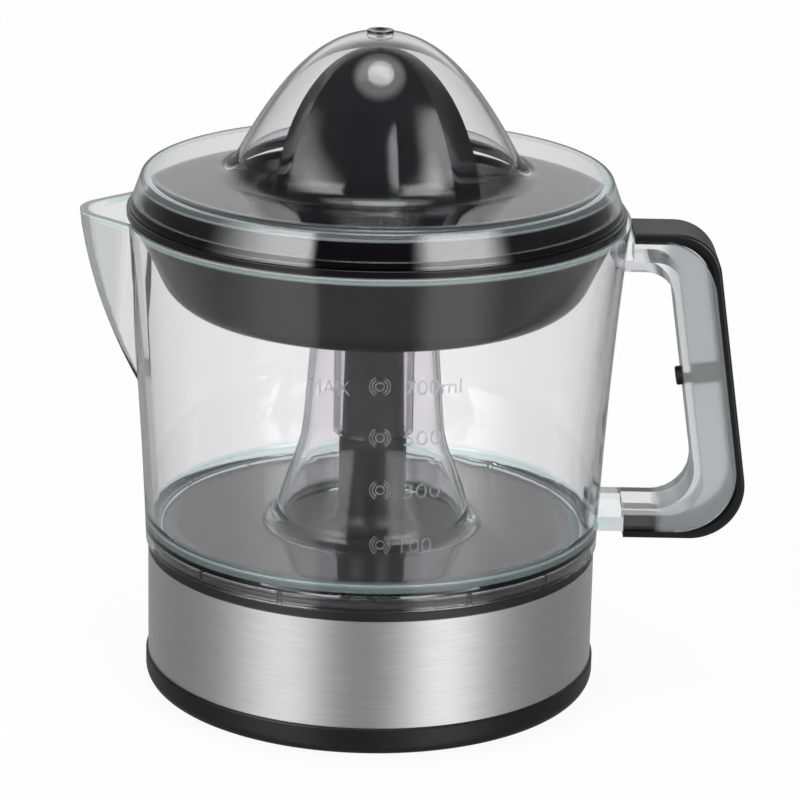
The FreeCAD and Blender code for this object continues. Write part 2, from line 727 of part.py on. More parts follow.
def core_spacers():
    """Sleeves that hold the core below the gear plate."""
    return [sleeve(SCREW_HEAD_RADIUS, SCREW_HOLE, Z_CORE_TOP, Z_PLATE, at)
            for at in core_screw_places()]


def rotor_bushes():
    """Bronze bushes in the gear plate and in the bridge, for the rotor's shaft."""
    bore = ROTOR_SHAFT_RADIUS + RUNNING_FIT
    upper = sleeve(ROTOR_BUSH_RADIUS, bore, Z_PLATE - OVERRUN, Z_PLATE_TOP, ROTOR_AT)
    lower = sleeve(ROTOR_BUSH_RADIUS, bore, Z_BRIDGE, Z_BRIDGE + BRIDGE_THICKNESS + OVERRUN, ROTOR_AT)
    return [upper, lower]


def rotor_magnet():
    """Two-pole magnet drum."""
    return sleeve(ROTOR_RADIUS, ROTOR_SHAFT_RADIUS, Z_CORE, Z_CORE_TOP, ROTOR_AT)


def rotor_shaft():
    """Steel shaft from the bridge up to the motor's pinion."""
    return rod(ROTOR_SHAFT_RADIUS, Z_BRIDGE + SLIP_FIT, Z_FAST_TOP + OVERRUN, ROTOR_AT)


def motor_pinion():
    """Pinion on the top of the rotor's shaft."""
    phase = ROTOR_ANGLE + 180
    body = gear(FAST_MODULE, PINION_TEETH, PROFILE_SHIFT, phase, ROTOR_AT, Z_FAST, Z_FAST_TOP + OVERRUN)
    return body.cut(rod(ROTOR_SHAFT_RADIUS, Z_FAST - OVERRUN, Z_FAST_TOP + 2 * OVERRUN, ROTOR_AT))


def idler_gear():
    """Large wheel and long pinion in one moulding, which turns on a fixed axle."""
    half_tooth = 180 / FAST_WHEEL_TEETH
    top = Z_UNDER - GEAR_HEADROOM
    wheel = gear(FAST_MODULE, FAST_WHEEL_TEETH, -PROFILE_SHIFT, ROTOR_ANGLE + half_tooth, IDLER_AT,
                 Z_FAST, Z_FAST_TOP)
    pinion = gear(SLOW_MODULE, PINION_TEETH, PROFILE_SHIFT, IDLER_ANGLE + 180, IDLER_AT,
                  Z_FAST, top)
    bore = rod(IDLER_AXLE_RADIUS + RUNNING_FIT, Z_FAST - OVERRUN, top + OVERRUN, IDLER_AT)
    return joined(wheel, pinion).cut(bore)


def idler_axle():
    """Fixed pin for the idler, pressed into the gear plate."""
    return rod(IDLER_AXLE_RADIUS, Z_PLATE, Z_UNDER - GEAR_HEADROOM / 2, IDLER_AT)


def output_gear():
    """Wheel on the spindle, with a thin web between its rim and its hub."""
    half_tooth = 180 / SLOW_WHEEL_TEETH
    top = Z_SLOW + SLOW_FACE
    body = gear(SLOW_MODULE, SLOW_WHEEL_TEETH, -PROFILE_SHIFT, IDLER_ANGLE + half_tooth, (0, 0),
                Z_SLOW, top)
    rim = SLOW_MODULE * SLOW_WHEEL_TEETH / 2 - OUTPUT_RIM
    recess = sleeve(rim, OUTPUT_HUB_RADIUS, Z_SLOW + OUTPUT_WEB, top + OVERRUN)
    return body.cut([recess, rod(SPINDLE_RADIUS, Z_SLOW - OVERRUN, top + OVERRUN)])


def drive_spindle():
    """Steel spindle with a hexagonal head for the reamer and a groove for its clip."""
    groove = SPINDLE_RADIUS - CLIP_GROOVE
    shaft = turned([
        (0, Z_SPINDLE), (SPINDLE_RADIUS, Z_SPINDLE, SOFT_ROUND), (SPINDLE_RADIUS, Z_CLIP), (groove, Z_CLIP),
        (groove, Z_CLIP + CLIP_THICKNESS), (SPINDLE_RADIUS, Z_CLIP + CLIP_THICKNESS),
        (SPINDLE_RADIUS, Z_HEX + OVERRUN), (0, Z_HEX + OVERRUN)])
    head = prism(hexagon(HEX_FLATS), Z_HEX, Z_HEX_TOP)
    round_off = HEX_FLATS / 2 / math.cos(math.radians(30)) + RUNNING_FIT
    point = turned([
        (0, Z_HEX - OVERRUN), (round_off, Z_HEX - OVERRUN), (round_off, Z_HEX_TOP - HEX_CHAMFER),
        (round_off - HEX_CHAMFER, Z_HEX_TOP), (0, Z_HEX_TOP)])
    return joined(shaft, head.common(point))


def spindle_clip():
    """Open spring clip in the spindle's groove, which stops it from rising."""
    ring = sleeve(CLIP_RADIUS, SPINDLE_RADIUS - CLIP_GROOVE, Z_CLIP, Z_CLIP + CLIP_THICKNESS)
    mouth = SPINDLE_RADIUS - 2 * CLIP_GROOVE
    top = Z_CLIP + CLIP_THICKNESS + OVERRUN
    return ring.cut(block((0, -mouth, Z_CLIP - OVERRUN), (CLIP_RADIUS + OVERRUN, mouth, top)))


def spindle_bush_upper():
    """Plain bush at the top of the deck's tower."""
    return sleeve(TOWER_BORE, SPINDLE_RADIUS + RUNNING_FIT, TOWER_TOP - UPPER_BUSH_LENGTH, TOWER_TOP)


def spindle_bush_lower():
    """Flanged bush in the gear plate."""
    top = Z_LOWER_BUSH + LOWER_BUSH_LENGTH
    flange = LOWER_BUSH_RADIUS + LOWER_BUSH_FLANGE
    return turned([
        (SPINDLE_RADIUS + RUNNING_FIT, Z_LOWER_BUSH), (LOWER_BUSH_RADIUS, Z_LOWER_BUSH),
        (LOWER_BUSH_RADIUS, Z_PLATE - LOWER_BUSH_FLANGE), (flange, Z_PLATE - LOWER_BUSH_FLANGE),
        (flange, Z_PLATE), (LOWER_BUSH_RADIUS, Z_PLATE), (LOWER_BUSH_RADIUS, top),
        (SPINDLE_RADIUS + RUNNING_FIT, top)])


def thrust_cap():
    """Cup under the spindle that rides on the return spring and works the switch."""
    bore = SPINDLE_RADIUS + RUNNING_FIT
    outer = bore + CAP_WALL
    top = Z_SPINDLE + CAP_DEPTH
    spigot = SPRING_MEAN_RADIUS - SPRING_WIRE / 2 - LOOSE_FIT
    return turned([
        (0, Z_CAP - CAP_FLANGE), (spigot, Z_CAP - CAP_FLANGE, TINY_ROUND), (spigot, Z_CAP),
        (CAP_FLANGE_RADIUS, Z_CAP), (CAP_FLANGE_RADIUS, Z_CAP + CAP_FLANGE),
        (outer, Z_CAP + CAP_FLANGE), (outer, top), (bore, top), (bore, Z_SPINDLE), (0, Z_SPINDLE)])


def return_spring():
    """Coil spring between the pan and the thrust cap, swept along quarter-turn arcs."""
    low = Z_FLOOR + SPRING_WIRE / 2
    rise = Z_CAP - SPRING_WIRE / 2 - low
    quarters = 4 * SPRING_TURNS

    def coil(turns):
        x, y = polar(SPRING_MEAN_RADIUS, 360 * turns)
        return Vector(x, y, low + rise * turns / SPRING_TURNS)

    arcs = [Part.Arc(coil(i / 4), coil((i + 0.5) / 4), coil((i + 1) / 4)).toShape()
            for i in range(quarters)]
    path = Part.Wire(arcs)
    start = path.Edges[0]
    way = start.tangentAt(start.FirstParameter)
    section = Part.Wire(Part.makeCircle(SPRING_WIRE / 2, coil(0), way))
    return path.makePipeShell([section], True, False)


def pivot_x():
    """Distance of the switch lever's pivot from the drive axis."""
    return SWITCH_NEAR + SWITCH_LENGTH - LEVER_PIVOT_IN


def lever_angle():
    """Slope of the lever at rest, with its tip just under the thrust cap's flange."""
    tip_height = Z_CAP - LOOSE_FIT - LEVER_THICKNESS / 2
    return math.atan2(tip_height - Z_PIVOT, pivot_x() - LEVER_TIP_RADIUS)


def button_place():
    """Distance of the switch button from the drive axis."""
    return pivot_x() - BUTTON_FROM_PIVOT


def button_top():
    """Height of the button's top, just under the lever at rest."""
    lever = Z_PIVOT + BUTTON_FROM_PIVOT * math.tan(lever_angle())
    return lever - LEVER_THICKNESS / 2 - LOOSE_FIT


def switch_body():
    """Snap switch with two ears for the lever's pin and a hole for its button."""
    half = SWITCH_WIDTH / 2
    far = SWITCH_NEAR + SWITCH_LENGTH
    body = block((SWITCH_NEAR, -half, Z_FLOOR), (far, half, Z_SWITCH_TOP))
    ear_top = Z_PIVOT + LEVER_PIN_RADIUS + SWITCH_EAR_WALL
    left = pivot_x() - LEVER_PIN_RADIUS - SWITCH_EAR_WALL
    right = pivot_x() + LEVER_PIN_RADIUS + SWITCH_EAR_WALL
    ears = block((left, -half, Z_FLOOR + OVERRUN), (right, half, ear_top))
    gap = half - SWITCH_EAR_WALL
    slot = block((left - OVERRUN, -gap, Z_SWITCH_TOP), (right + OVERRUN, gap, ear_top + OVERRUN))
    pin = Part.makeCylinder(LEVER_PIN_RADIUS + RUNNING_FIT, SWITCH_WIDTH + 2 * OVERRUN,
                            Vector(pivot_x(), -half - OVERRUN, Z_PIVOT), Vector(0, 1, 0))
    well = rod(BUTTON_RADIUS + RUNNING_FIT, Z_SWITCH_TOP - BUTTON_DEPTH, Z_SWITCH_TOP + OVERRUN,
               (button_place(), 0))
    return joined(body, ears).cut([slot, pin, well])


def switch_button():
    """Plunger in the top of the switch."""
    low = Z_SWITCH_TOP - BUTTON_DEPTH + BUTTON_TRAVEL + LOOSE_FIT
    top = button_top()
    plunger = [(0, low), (BUTTON_RADIUS, low), (BUTTON_RADIUS, top, TINY_ROUND), (0, top)]
    return turned(plunger, (button_place(), 0))


def switch_lever():
    """Thin lever on a cross pin, from the switch's ears to under the thrust cap."""
    half = LEVER_THICKNESS / 2
    length = (pivot_x() - LEVER_TIP_RADIUS) / math.cos(lever_angle())
    width = SWITCH_WIDTH - 2 * SWITCH_EAR_WALL - 2 * SLIP_FIT
    blade = side_prism([(-length, -half), (0, -half), (0, half), (-length, half)], width)
    pin = Part.makeCylinder(LEVER_PIN_RADIUS, SWITCH_WIDTH, Vector(0, -SWITCH_WIDTH / 2, 0),
                            Vector(0, 1, 0))
    lever = joined(blade, pin)
    lever.rotate(Vector(0, 0, 0), Vector(0, 1, 0), math.degrees(lever_angle()))
    lever.translate(Vector(pivot_x(), 0, Z_PIVOT))
    return lever


def jug_bulge(u, v):
    """Symmetric blend of the jug's wall radius over two height shares, from foot 0 to rim 1."""
    straight = JUG_FOOT_RADIUS + (JUG_RIM_RADIUS - JUG_FOOT_RADIUS) * (u + v) / 2
    return straight - 4 * JUG_BOW * ((u + v) / 2 - u * v)


def jug_radius(z):
    """Outer radius of the jug's wall at a height."""
    share = (z - Z_SEAT) / JUG_HEIGHT
    return jug_bulge(share, share)


def jug_wall(low, high, inset):
    """Curve up the jug's wall between two heights, as its last pole and its end point."""
    share_low = (low - Z_SEAT) / JUG_HEIGHT
    share_high = (high - Z_SEAT) / JUG_HEIGHT
    pole = (jug_bulge(share_low, share_high) - inset, (low + high) / 2)
    return [pole, (jug_radius(high) - inset, high)]


def spout_wire(z, inset):
    """Plan section of the spout: a round tip between two straight sides that run into the jug."""
    root = Z_RIM - SPOUT_DEPTH
    share = (z - root) / SPOUT_DEPTH
    tip = jug_radius(z) + SPOUT_REACH * share * (2 - share)
    radius = SPOUT_ROOT_ROUND + (SPOUT_TIP_ROUND - SPOUT_ROOT_ROUND) * share
    centre = tip - radius
    radius = radius - inset
    side_x = centre + radius * math.cos(SPOUT_HALF_ANGLE)
    side_y = radius * math.sin(SPOUT_HALF_ANGLE)
    back_y = side_y + (side_x - SPOUT_BACK) / math.tan(SPOUT_HALF_ANGLE)
    corners = [Vector(-SPOUT_BACK, -back_y, z), Vector(-side_x, -side_y, z),
               Vector(-side_x, side_y, z), Vector(-SPOUT_BACK, back_y, z)]
    edges = [
        Part.LineSegment(corners[0], corners[1]).toShape(),
        Part.Arc(corners[1], Vector(-centre - radius, 0, z), corners[2]).toShape(),
        Part.LineSegment(corners[2], corners[3]).toShape(),
        Part.LineSegment(corners[3], corners[0]).toShape()]
    return Part.Wire(edges)


def spout_loft(top, inset):
    """Prow-shaped solid from the spout's root up to a height."""
    root = Z_RIM - SPOUT_DEPTH
    step = (top - root) / (SPOUT_SECTIONS - 1)
    wires = [spout_wire(root + i * step, inset) for i in range(SPOUT_SECTIONS)]
    return Part.makeLoft(wires, True, False)


def juice_space():
    """Inside of the jug, above its floor and round its centre column."""
    floor = Z_SEAT + JUG_FLOOR_RISE + JUG_FLOOR
    knee = Z_SEAT + CENTRE_KNEE_HEIGHT
    side = jug_radius(floor) - JUG_WALL
    turn = floor + JUG_FLOOR_ROUND
    return turned([
        (0, Z_CENTRE_TOP), (CENTRE_TOP_RADIUS, Z_CENTRE_TOP, EDGE_ROUND),
        (CENTRE_KNEE_RADIUS, knee, CENTRE_KNEE_ROUND),
        (CENTRE_FLARE_RADIUS, floor, CENTRE_FLARE_ROUND), (side - JUG_FLOOR_ROUND, floor),
        [(side, floor), (jug_radius(turn) - JUG_WALL, turn)], jug_wall(turn, Z_RIM + OVERRUN, JUG_WALL),
        (0, Z_RIM + OVERRUN)])


def jug_underside():
    """Space under the jug's floor and up inside its centre column, round the guide tube."""
    ceiling = Z_SEAT + JUG_FLOOR_RISE
    knee = Z_SEAT + CENTRE_KNEE_HEIGHT
    cap = Z_CENTRE_TOP - CENTRE_WALL
    guide_low = TOWER_COLLAR_TOP + LOOSE_FIT
    guide = GUIDE_BORE + GUIDE_WALL
    return turned([
        (0, Z_SEAT - OVERRUN), (JUG_FOOT_BORE, Z_SEAT - OVERRUN), (JUG_FOOT_BORE, ceiling, EDGE_ROUND),
        (CENTRE_FLARE_RADIUS - CENTRE_WALL, ceiling, CENTRE_FLARE_ROUND),
        (CENTRE_KNEE_RADIUS - CENTRE_WALL, knee, CENTRE_KNEE_ROUND),
        (CENTRE_TOP_RADIUS - CENTRE_WALL, cap, SMALL_ROUND), (guide, cap), (guide, guide_low),
        (GUIDE_BORE, guide_low), (GUIDE_BORE, Z_CENTRE_TOP + OVERRUN), (0, Z_CENTRE_TOP + OVERRUN)])


def handle_side(depth):
    """Outer corners of the handle's loop, drawn in from its outside by a depth."""
    top = Z_RIM - HANDLE_DROP
    low = Z_SEAT + HANDLE_RISE
    slope = (HANDLE_LOW_REACH - HANDLE_TOP_REACH) / (top - low)
    shift = depth * math.sqrt(1 + slope ** 2)
    upper = (HANDLE_TOP_REACH + slope * depth - shift, top - depth, HANDLE_TOP_ROUND - depth)
    lower = (HANDLE_LOW_REACH - slope * depth - shift, low + depth, HANDLE_LOW_ROUND - depth)
    return [upper, lower]


def handle_gap():
    """Corners of the finger gap, inside the handle's loop."""
    top = Z_RIM - HANDLE_DROP
    low = Z_SEAT + HANDLE_RISE
    slope = (HANDLE_LOW_REACH - HANDLE_TOP_REACH) / (top - low)
    shift = HANDLE_SIDE_DEPTH * math.sqrt(1 + slope ** 2)
    upper = (HANDLE_TOP_REACH + slope * HANDLE_TOP_DEPTH - shift, top - HANDLE_TOP_DEPTH, GAP_TOP_ROUND)
    lower = (HANDLE_LOW_REACH - slope * HANDLE_LOW_DEPTH - shift, low + HANDLE_LOW_DEPTH, GAP_LOW_ROUND)
    return [upper, lower]


def handle_band(near, outer, inner, width):
    """C-shaped solid between two rows of corners, from a distance off the axis outwards."""
    upper, lower = outer
    gap_upper, gap_lower = inner
    return side_prism([
        (near, upper[1]), upper, lower, (near, lower[1]), (near, gap_lower[1]), gap_lower, gap_upper,
        (near, gap_upper[1])], width)


def shrunk_gap(margin):
    """Corners of the finger gap, grown into the handle by a margin."""
    upper, lower = handle_gap()
    slope = (lower[0] - upper[0]) / (upper[1] - lower[1])
    shift = margin * math.sqrt(1 + slope ** 2)
    grown_upper = (upper[0] - slope * margin + shift, upper[1] + margin, upper[2] + margin)
    grown_lower = (lower[0] + slope * margin + shift, lower[1] - margin, lower[2] + margin)
    return [grown_upper, grown_lower]


def grip_near():
    """Distance of the grip's ends from the axis, just outside the jug's rim."""
    return JUG_RIM_RADIUS + GRIP_START


def handle_channel():
    """Clear channel of the handle, open towards the grip."""
    near = JUG_FOOT_RADIUS - JUG_WALL
    arms = handle_band(near, handle_side(GRIP_CAP), handle_gap(), HANDLE_WIDTH)
    pocket = handle_band(grip_near(), handle_side(GRIP_CAP / 2), shrunk_gap(HANDLE_WEB),
                         HANDLE_WIDTH - 2 * HANDLE_WALL)
    return arms.cut(pocket)


def grip_axis():
    """Start and direction of the grip's screw, square to the handle's upright part."""
    gap_upper, gap_lower = handle_gap()
    height = Z_RIM - HANDLE_DROP - GRIP_SCREW_DROP
    share = (gap_upper[1] - height) / (gap_upper[1] - gap_lower[1])
    start = Vector(gap_upper[0] + (gap_lower[0] - gap_upper[0]) * share, 0, height)
    way = Vector(gap_upper[1] - gap_lower[1], 0, gap_lower[0] - gap_upper[0])
    way.normalize()
    return start, way


def jug_body():
    """Clear jug with its spout, centre column, foot and handle channel in one moulding."""
    body = turned([(0, Z_SEAT), (JUG_FOOT_RADIUS, Z_SEAT), jug_wall(Z_SEAT, Z_RIM, 0), (0, Z_RIM)])
    outer = body.fuse([spout_loft(Z_RIM, 0), handle_channel()])
    start, way = grip_axis()
    screw_hole = Part.makeCylinder(SCREW_HOLE, HANDLE_SIDE_DEPTH, start - way, way)
    inner = juice_space().fuse(spout_loft(Z_RIM + OVERRUN, JUG_WALL))
    return outer.cut([inner, jug_underside(), screw_hole] + foot_notches()).removeSplitter()


def foot_notches():
    """Shallow upright notches round the inside of the jug's foot."""
    reach = JUG_FOOT_BORE + NOTCH_DEPTH
    half = NOTCH_WIDTH / 2
    notch = block((JUG_FOOT_BORE - OVERRUN, -half, Z_SEAT - OVERRUN), (reach, half, Z_SEAT + JUG_FLOOR_RISE))
    return [spun(notch, NOTCH_ANGLE + 360 * i / NOTCH_COUNT) for i in range(NOTCH_COUNT)]


def handle_grip():
    """Black grip: a strip round the outside of the handle, with a rib and a screw boss in the channel."""
    strip = handle_band(grip_near(), handle_side(0), handle_side(GRIP_CAP), HANDLE_WIDTH)
    long_edges = [edge for edge in strip.Edges if is_strip_edge(edge)]
    strip = strip.makeFillet(GRIP_EDGE_ROUND, long_edges)
    rib = handle_band(grip_near() + SLIP_FIT, handle_side(GRIP_CAP), handle_side(GRIP_CAP + GRIP_RIB),
                      HANDLE_WIDTH - 2 * HANDLE_WALL - 2 * SLIP_FIT)
    start, way = grip_axis()
    boss_start = start + way * (HANDLE_WEB + SLIP_FIT)
    boss = Part.makeCylinder(GRIP_BOSS_RADIUS, HANDLE_SIDE_DEPTH - HANDLE_WEB - GRIP_CAP, boss_start, way)
    pilot = Part.makeCylinder(SCREW_PILOT, GRIP_SCREW_BITE + 2 * SCREW_RADIUS, boss_start, way)
    return joined(strip, rib, boss).cut(pilot)


def is_strip_edge(edge):
    """True for the grip strip's outer long edges, which are rounded for the hand."""
    box = edge.BoundBox
    if box.YLength > NEAR:
        return False
    upper, lower = handle_side(0)
    middle = edge.valueAt((edge.FirstParameter + edge.LastParameter) / 2)
    on_top = abs(middle.z - upper[1]) < NEAR
    on_low = abs(middle.z - lower[1]) < NEAR
    slope = (lower[0] - upper[0]) / (upper[1] - lower[1])
    line = upper[0] + slope * (upper[1] - middle.z)
    on_side = abs(middle.x - line) < NEAR
    return on_top or on_low or on_side


def grip_screw():
    """Screw from the finger side of the handle into the grip's boss."""
    start, way = grip_axis()
    shape = screw((0, 0), 0, HANDLE_WEB + SLIP_FIT + GRIP_SCREW_BITE)
    turn = FreeCAD.Rotation(UP, way)
    shape.Placement = FreeCAD.Placement(start, turn)
    return shape


def strainer_bowl():
    """Dark strainer: flange on the jug's rim, round bowl, slotted floor, raised centre and collar."""
    mouth = JUG_RIM_RADIUS - JUG_WALL - STRAINER_FIT
    flange = JUG_RIM_RADIUS - STRAINER_FLANGE_INSET
    low = Z_RIM - STRAINER_DEPTH
    floor = low + STRAINER_WALL
    lean = (mouth - STRAINER_CORNER_RADIUS) / STRAINER_DEPTH
    side = STRAINER_WALL * math.sqrt(1 + lean ** 2)
    inner_corner = STRAINER_CORNER_RADIUS - side + lean * STRAINER_WALL
    bead_out = COVER_SKIRT_RADIUS - COVER_WALL - LOOSE_FIT - STRAINER_BEAD
    bead_in = mouth - side + lean * (STRAINER_FLANGE + STRAINER_BEAD)
    bead_top = Z_FLANGE + STRAINER_BEAD
    hat_lean = (HAT_FOOT_RADIUS - HAT_TOP_RADIUS) / (Z_HAT - floor)
    hat_side = STRAINER_WALL * math.sqrt(1 + hat_lean ** 2)
    tight = STRAINER_CORNER_ROUND - STRAINER_WALL
    body = turned([
        (flange, Z_RIM), (flange, Z_FLANGE, TINY_ROUND), (bead_out, Z_FLANGE), (bead_out, bead_top),
        (bead_in, bead_top), (inner_corner, floor, tight),
        (HAT_FOOT_RADIUS, floor, HAT_ROUND), (HAT_TOP_RADIUS, Z_HAT, HAT_ROUND + STRAINER_WALL),
        (COLLAR_RADIUS, Z_HAT, SOFT_ROUND), (COLLAR_RADIUS, Z_COLLAR, SMALL_ROUND), (COLLAR_BORE, Z_COLLAR),
        (COLLAR_BORE, Z_HAT_UNDER), (HAT_TOP_RADIUS - hat_side, Z_HAT_UNDER, HAT_ROUND),
        (HAT_FOOT_RADIUS - hat_side, low, HAT_ROUND + STRAINER_WALL),
        (STRAINER_CORNER_RADIUS, low, STRAINER_CORNER_ROUND), (mouth, Z_RIM)])
    slot = block((SLOT_START, -SLOT_WIDTH / 2, low - OVERRUN), (SLOT_END, SLOT_WIDTH / 2, Z_HAT))
    return body.cut([spun(slot, 360 * i / SLOT_COUNT) for i in range(SLOT_COUNT)])


def reamer_poles():
    """Poles, as (r, z), of the curve from the reamer's tip to its base."""
    top = Z_REAMER + REAMER_HEIGHT
    return [(0, top), (REAMER_CROWN_RADIUS, top), (REAMER_RADIUS, top - REAMER_SHOULDER_DROP),
            (REAMER_RADIUS, Z_REAMER)]


def reamer_profile(share):
    """Point, as (r, z), a share of the way along the reamer's curve."""
    weights = [(1 - share) ** 3, 3 * share * (1 - share) ** 2, 3 * share ** 2 * (1 - share), share ** 3]
    radius = sum(w * p[0] for w, p in zip(weights, reamer_poles()))
    height = sum(w * p[1] for w, p in zip(weights, reamer_poles()))
    return radius, height


def reamer_section(share):
    """Scalloped section of the reamer: sharp ribs with a hollow between each two."""
    radius, height = reamer_profile(share)
    growth = min(1.0, max(0.0, (share - REAMER_CAP_SHARE) / (REAMER_FLUTE_SHARE - REAMER_CAP_SHARE)))
    valley = radius * (1 - REAMER_FLUTE * growth)
    step = 360 / REAMER_RIBS

    def point(length, degrees):
        x, y = polar(length, degrees)
        return Vector(x, y, height)

    edges = []
    for i in range(REAMER_RIBS):
        angle = REAMER_RIB_ANGLE + i * step
        edges.append(Part.Arc(point(radius, angle), point(valley, angle + step / 2),
                              point(radius, angle + step)).toShape())
    return Part.Wire(edges)


def reamer_cone():
    """Hollow ribbed cone with a stem that takes the spindle's hexagonal head."""
    shares = [REAMER_CAP_SHARE + (1 - REAMER_CAP_SHARE) * i / (REAMER_SECTIONS - 1)
              for i in range(REAMER_SECTIONS)]
    ribbed = Part.makeLoft([reamer_section(share) for share in shares], True, False)
    tip, crown = reamer_poles()[:2]
    first = (crown[0] * REAMER_CAP_SHARE, crown[1])
    edge = reamer_profile(REAMER_CAP_SHARE)
    shoulder = reamer_poles()[2]
    middle = (crown[0] + (shoulder[0] - crown[0]) * REAMER_CAP_SHARE,
              crown[1] + (shoulder[1] - crown[1]) * REAMER_CAP_SHARE)
    second = (first[0] + (middle[0] - first[0]) * REAMER_CAP_SHARE,
              first[1] + (middle[1] - first[1]) * REAMER_CAP_SHARE)
    cap = turned([(0, edge[1]), edge, [second, first, tip]])
    keep = 1 - REAMER_FLUTE
    ceiling = tip[1] - REAMER_TOP_WALL
    mouth = REAMER_RADIUS * keep - REAMER_WALL
    haunch = (REAMER_RADIUS * keep - REAMER_WALL, shoulder[1] - REAMER_TOP_WALL)
    cavity = turned([
        (0, Z_REAMER - OVERRUN), (mouth, Z_REAMER - OVERRUN), (mouth, Z_REAMER),
        [haunch, (crown[0] * keep, ceiling), (0, ceiling)]])
    bush_top = Z_BUSH + BUSH_LENGTH
    bead = STEM_RADIUS + STEM_BEAD
    shoulder_radius = STEM_RADIUS + STEM_SHOULDER
    stem = turned([
        (0, Z_STEM), (STEM_RADIUS, Z_STEM, SMALL_ROUND), (STEM_RADIUS, Z_BUSH - 3 * STEM_BEAD),
        (bead, Z_BUSH - 2 * STEM_BEAD), (bead, Z_BUSH - STEM_BEAD), (STEM_RADIUS, Z_BUSH - STEM_BEAD),
        (STEM_RADIUS, bush_top + STEM_BEAD), (shoulder_radius, bush_top + STEM_BEAD),
        (shoulder_radius, ceiling + OVERRUN), (0, ceiling + OVERRUN)])
    socket = prism(hexagon(HEX_FLATS + 2 * SLIP_FIT), Z_STEM - OVERRUN, Z_HEX_TOP + LOOSE_FIT)
    return joined(joined(ribbed, cap).cut(cavity), stem).cut(socket)


def stem_bush():
    """Plastic bush on the reamer's stem, which slides in the strainer's collar."""
    return sleeve(STEM_BUSH_RADIUS, STEM_RADIUS + RUNNING_FIT, Z_BUSH, Z_BUSH + BUSH_LENGTH)


def dust_cover():
    """Clear cover: parabolic dome with a dimpled nub, flat brim and flared skirt."""
    brim = Z_FLANGE + COVER_SKIRT_HEIGHT
    top = Z_FLANGE + COVER_HEIGHT
    drop = top - brim
    spring = brim + DOME_FILLET
    spring_radius = DOME_RADIUS * math.sqrt((top - spring) / drop)
    inner_radius = spring_radius - COVER_WALL
    inner_top = top - COVER_WALL
    flare = (COVER_SKIRT_RADIUS - COVER_CORNER_RADIUS) / COVER_SKIRT_HEIGHT
    side = COVER_WALL * math.sqrt(1 + flare ** 2)
    under = brim - COVER_WALL
    inner_corner = COVER_CORNER_RADIUS + flare * COVER_WALL - side
    foot = DOME_RADIUS + DOME_FILLET
    shell = turned([
        (0, top), [(spring_radius / 2, top), (spring_radius, spring)],
        [(DOME_RADIUS, brim), (foot, brim)], (COVER_CORNER_RADIUS, brim, COVER_CORNER_ROUND),
        (COVER_SKIRT_RADIUS, Z_FLANGE), (COVER_SKIRT_RADIUS - side, Z_FLANGE),
        (inner_corner, under, COVER_CORNER_ROUND - COVER_WALL), (foot, under),
        [(DOME_RADIUS - COVER_WALL, under), (inner_radius, spring)],
        [(inner_radius / 2, inner_top), (0, inner_top)]])
    nub = turned([
        (0, top - OVERRUN), (NUB_RADIUS, top - OVERRUN), (NUB_RADIUS, top + NUB_HEIGHT, SMALL_ROUND),
        (NUB_DIMPLE, top + NUB_HEIGHT), [(NUB_DIMPLE / 2, top + NUB_HEIGHT / 4), (0, top + NUB_HEIGHT / 4)]])
    return joined(shell, nub)


def save(name, made):
    """Write one piece, or a group of like pieces, to its own file."""
    shape = Part.makeCompound(made) if isinstance(made, list) else made
    shape.exportStep(f"parts/{name}.step")
    return shape


PIECES = (
    base_pan, rubber_feet, housing_screws, cord_gland, steel_band, top_deck, gear_plate, plate_screws,
    stator_core, coil_bobbin, coil_winding, bearing_bridge, core_screws, core_spacers, rotor_bushes,
    rotor_magnet, rotor_shaft, motor_pinion, idler_gear, idler_axle, output_gear, drive_spindle,
    spindle_clip, spindle_bush_upper, spindle_bush_lower, thrust_cap, return_spring, switch_body,
    switch_button, switch_lever, jug_body, handle_grip, grip_screw, strainer_bowl, stem_bush,
    reamer_cone, dust_cover)

os.makedirs("parts", exist_ok=True)
for piece in PIECES:
    made = save(piece.__name__, piece())
    print(piece.__name__, len(made.Solids), round(made.Volume, 1), made.isValid())
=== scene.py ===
"""Looks of an electric citrus press with a steel-banded base, a clear jug and a clear dust cover.

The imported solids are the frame. Every surface gets a procedural finish here, and the small moulded and
wound details that the solids leave plain are added as meshes that ride on the same bodies.
"""

import functools
import logging
import math
from abc import ABC, abstractmethod
from dataclasses import dataclass, field
from enum import Enum

import bmesh
import bpy
from mathutils import Matrix, Vector


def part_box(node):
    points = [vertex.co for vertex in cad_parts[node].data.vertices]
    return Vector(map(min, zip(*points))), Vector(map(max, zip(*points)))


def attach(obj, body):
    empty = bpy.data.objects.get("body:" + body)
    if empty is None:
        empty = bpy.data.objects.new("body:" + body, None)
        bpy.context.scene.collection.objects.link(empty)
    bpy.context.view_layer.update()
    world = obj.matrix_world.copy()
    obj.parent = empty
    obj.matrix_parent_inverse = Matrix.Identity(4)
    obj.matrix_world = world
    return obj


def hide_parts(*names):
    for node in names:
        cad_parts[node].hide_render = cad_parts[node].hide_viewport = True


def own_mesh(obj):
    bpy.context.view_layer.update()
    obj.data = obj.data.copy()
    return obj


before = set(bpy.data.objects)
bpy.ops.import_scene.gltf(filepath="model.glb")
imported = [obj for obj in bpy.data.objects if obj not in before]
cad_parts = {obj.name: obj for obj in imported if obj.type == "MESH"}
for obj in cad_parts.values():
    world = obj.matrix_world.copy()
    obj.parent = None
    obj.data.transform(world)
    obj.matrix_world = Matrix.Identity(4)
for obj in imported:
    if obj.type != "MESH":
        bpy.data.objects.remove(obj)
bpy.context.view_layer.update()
LOG = logging.getLogger("citrus_press")

MM = 0.001
FAR = 1.0
SMOOTH_ANGLE = 40.0
LIGHT_BOUNCES = 24
WHITE = (1.0, 1.0, 1.0, 1.0)
Colour = tuple[float, float, float]
Span = tuple[float, float, float, float]


